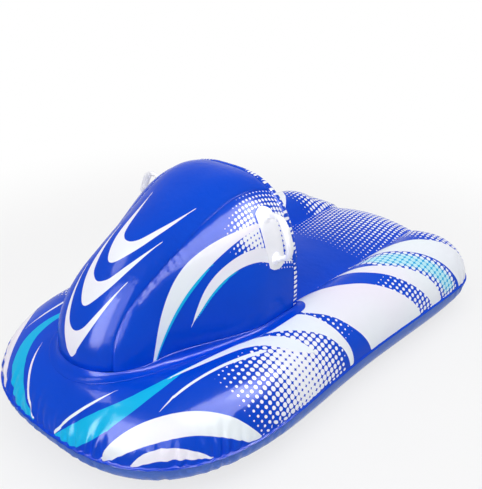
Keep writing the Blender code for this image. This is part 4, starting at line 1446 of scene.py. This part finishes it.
def way_to(azimuth, elevation):
    """A direction, from its compass angle, counted from the nose, and its height angle."""
    turn, rise = math.radians(azimuth), math.radians(elevation)
    level_part = math.cos(rise)
    return Vector((math.sin(turn) * level_part, -math.cos(turn) * level_part, math.sin(rise)))


back_way = way_to(AZIMUTH, ELEVATION)
right_way = way_to(AZIMUTH + 90, 0)
up_way = back_way.cross(right_way)
pan, tilt = math.atan(PAN_PIXELS / FOCAL_PIXELS), math.atan(TILT_PIXELS / FOCAL_PIXELS)
aim = back_way * math.cos(tilt) - up_way * math.sin(tilt)
aim = (aim * math.cos(pan) + right_way * math.sin(pan)).normalized()
level = Vector((0, 0, 1)).cross(aim).normalized()
camera = bpy.data.objects.new("camera", bpy.data.cameras.new("camera"))
bpy.context.scene.collection.objects.link(camera)
camera.matrix_world = Matrix((level, aim.cross(level), aim)).transposed().to_4x4()
camera.matrix_world.translation = Vector((0, 0, 0.15)) + back_way * DISTANCE
camera.data.lens = FOCAL_PIXELS / PICTURE_PIXELS * SENSOR
bpy.context.scene.camera = camera
print("lens:", round(camera.data.lens, 1), "mm")

# %% [markdown]
# ## Studio
#
# The picture has a plain white ground. The floor and the backdrop turn white where the camera, a
# reflection or a clear sheet looks at them, by the Light Path node, and not by more light. Near
# the sled the floor keeps a quarter of its own shading, and so its shadow.

# %% Floor and backdrop
PAPER, NEAR_WHITE, WHITE_FROM, WHITE_BY = (0.54, 0.54, 0.55, 1.0), 0.74, 0.9, 2.0
PURE_WHITE, AMBIENT = (1.0, 1.0, 1.0, 1.0), 0.62


def seen_straight(nodes):
    path = nodes.node("ShaderNodeLightPath")
    seen = Amount(nodes, path.outputs["Is Camera Ray"])
    for word in ("Is Glossy Ray", "Is Transmission Ray"):
        seen = seen.maths("MAXIMUM", Amount(nodes, path.outputs[word]))
    return seen


deselect()
bpy.ops.mesh.primitive_plane_add(size=24, location=(0, 0, -0.0005))
floor = bpy.context.object
floor.name = "studio_floor"
paper = Finish("studio_paper")
paper.set(Base_Color=PAPER, Roughness=0.9)
place = paper.node("ShaderNodeTexCoord").outputs["Object"]
off_middle = paper.node("ShaderNodeVectorMath", {"operation": "LENGTH"}, {0: place})
far = Amount(paper, off_middle.outputs["Value"]).over(WHITE_FROM, WHITE_BY)
glow = paper.node("ShaderNodeEmission", {}, {"Color": PURE_WHITE, "Strength": 1.0})
share = seen_straight(paper) * (NEAR_WHITE + far * (1 - NEAR_WHITE))
layers = {0: share, 1: paper.shader.outputs[0], 2: glow.outputs[0]}
ground = paper.node("ShaderNodeMixShader", {}, layers)
paper.feed(paper.tree.nodes["Material Output"].inputs["Surface"], ground.outputs[0])
floor.data.materials.append(paper.material)
world = bpy.data.worlds.new("studio")
bpy.context.scene.world = world
world.use_nodes = True
studio = Nodes(world.node_tree)
backdrop = studio.tree.nodes["Background"]
studio.feed(backdrop.inputs["Color"], PURE_WHITE)
strength = AMBIENT + seen_straight(studio) * (1 - AMBIENT)
studio.feed(backdrop.inputs["Strength"], strength)
print("the world gives", AMBIENT, "of the light that the camera sees")

# %% [markdown]
# ## Lamps
#
# Real film mirrors its soft boxes as long pale streaks, and the print stays dark between them.
# So some lamps here only shade, and others only show in the gloss: two in front, seen in the
# cowl's nose and the puckers, and two on the left, seen in the flank and the tube. A flag
# keeps a lamp off pieces that don't mirror it in the photo.

# %% Lamps
AIMED_AT = Vector((0, -0.2, 0.3))


def soft_box(name, degrees, height, distance, width, tall, brightness, only, shielded=()):
    """A lamp panel, placed by its compass angle from the nose, its height angle and its way."""
    way = way_to(degrees, height)
    lamp = bpy.data.lights.new(name, "AREA")
    lamp.shape = "RECTANGLE"
    lamp.size, lamp.size_y = width, tall
    lamp.energy = brightness * math.pi * width * tall
    holder = bpy.data.objects.new(name, lamp)
    bpy.context.scene.collection.objects.link(holder)
    holder.location = AIMED_AT + way * distance
    holder.rotation_euler = way.to_track_quat("Z", "Y").to_euler()
    holder.visible_diffuse = only != "gloss"
    holder.visible_glossy = only != "shade"
    if shielded:
        flag = bpy.data.collections.new(name + "_flag")
        holder.light_linking.receiver_collection = flag
        for piece in shielded:
            flag.objects.link(piece)
        for held_off in flag.collection_objects:
            held_off.light_linking.link_state = "EXCLUDE"
    print(name, "gives", round(lamp.energy), "W")


soft_box("key", 12, 50, 3.2, 1.8, 1.8, 2.1, "shade")
soft_box("top", 60, 80, 3.2, 2.6, 2.6, 1.05, "shade")
soft_box("rear_top", 160, 60, 3.2, 2.2, 2.2, 1.4, "shade")
soft_box("front_panel", 22, 29, 3.0, 3.2, 3.1, 16.0, "gloss", [bottom])
soft_box("front_strip", 8, 18, 2.9, 1.3, 3.0, 25.0, "gloss", [bottom])
soft_box("left_panel", 97, 50, 3.0, 2.4, 2.2, 33.0, "gloss", [crown])
soft_box("tube_panel", 128, 46, 2.8, 1.0, 1.1, 33.0, "gloss", [crown])
soft_box("far_panel", -45, 54, 3.0, 0.8, 0.7, 20.0, "gloss")
bpy.context.scene.view_settings.view_transform = "Standard"
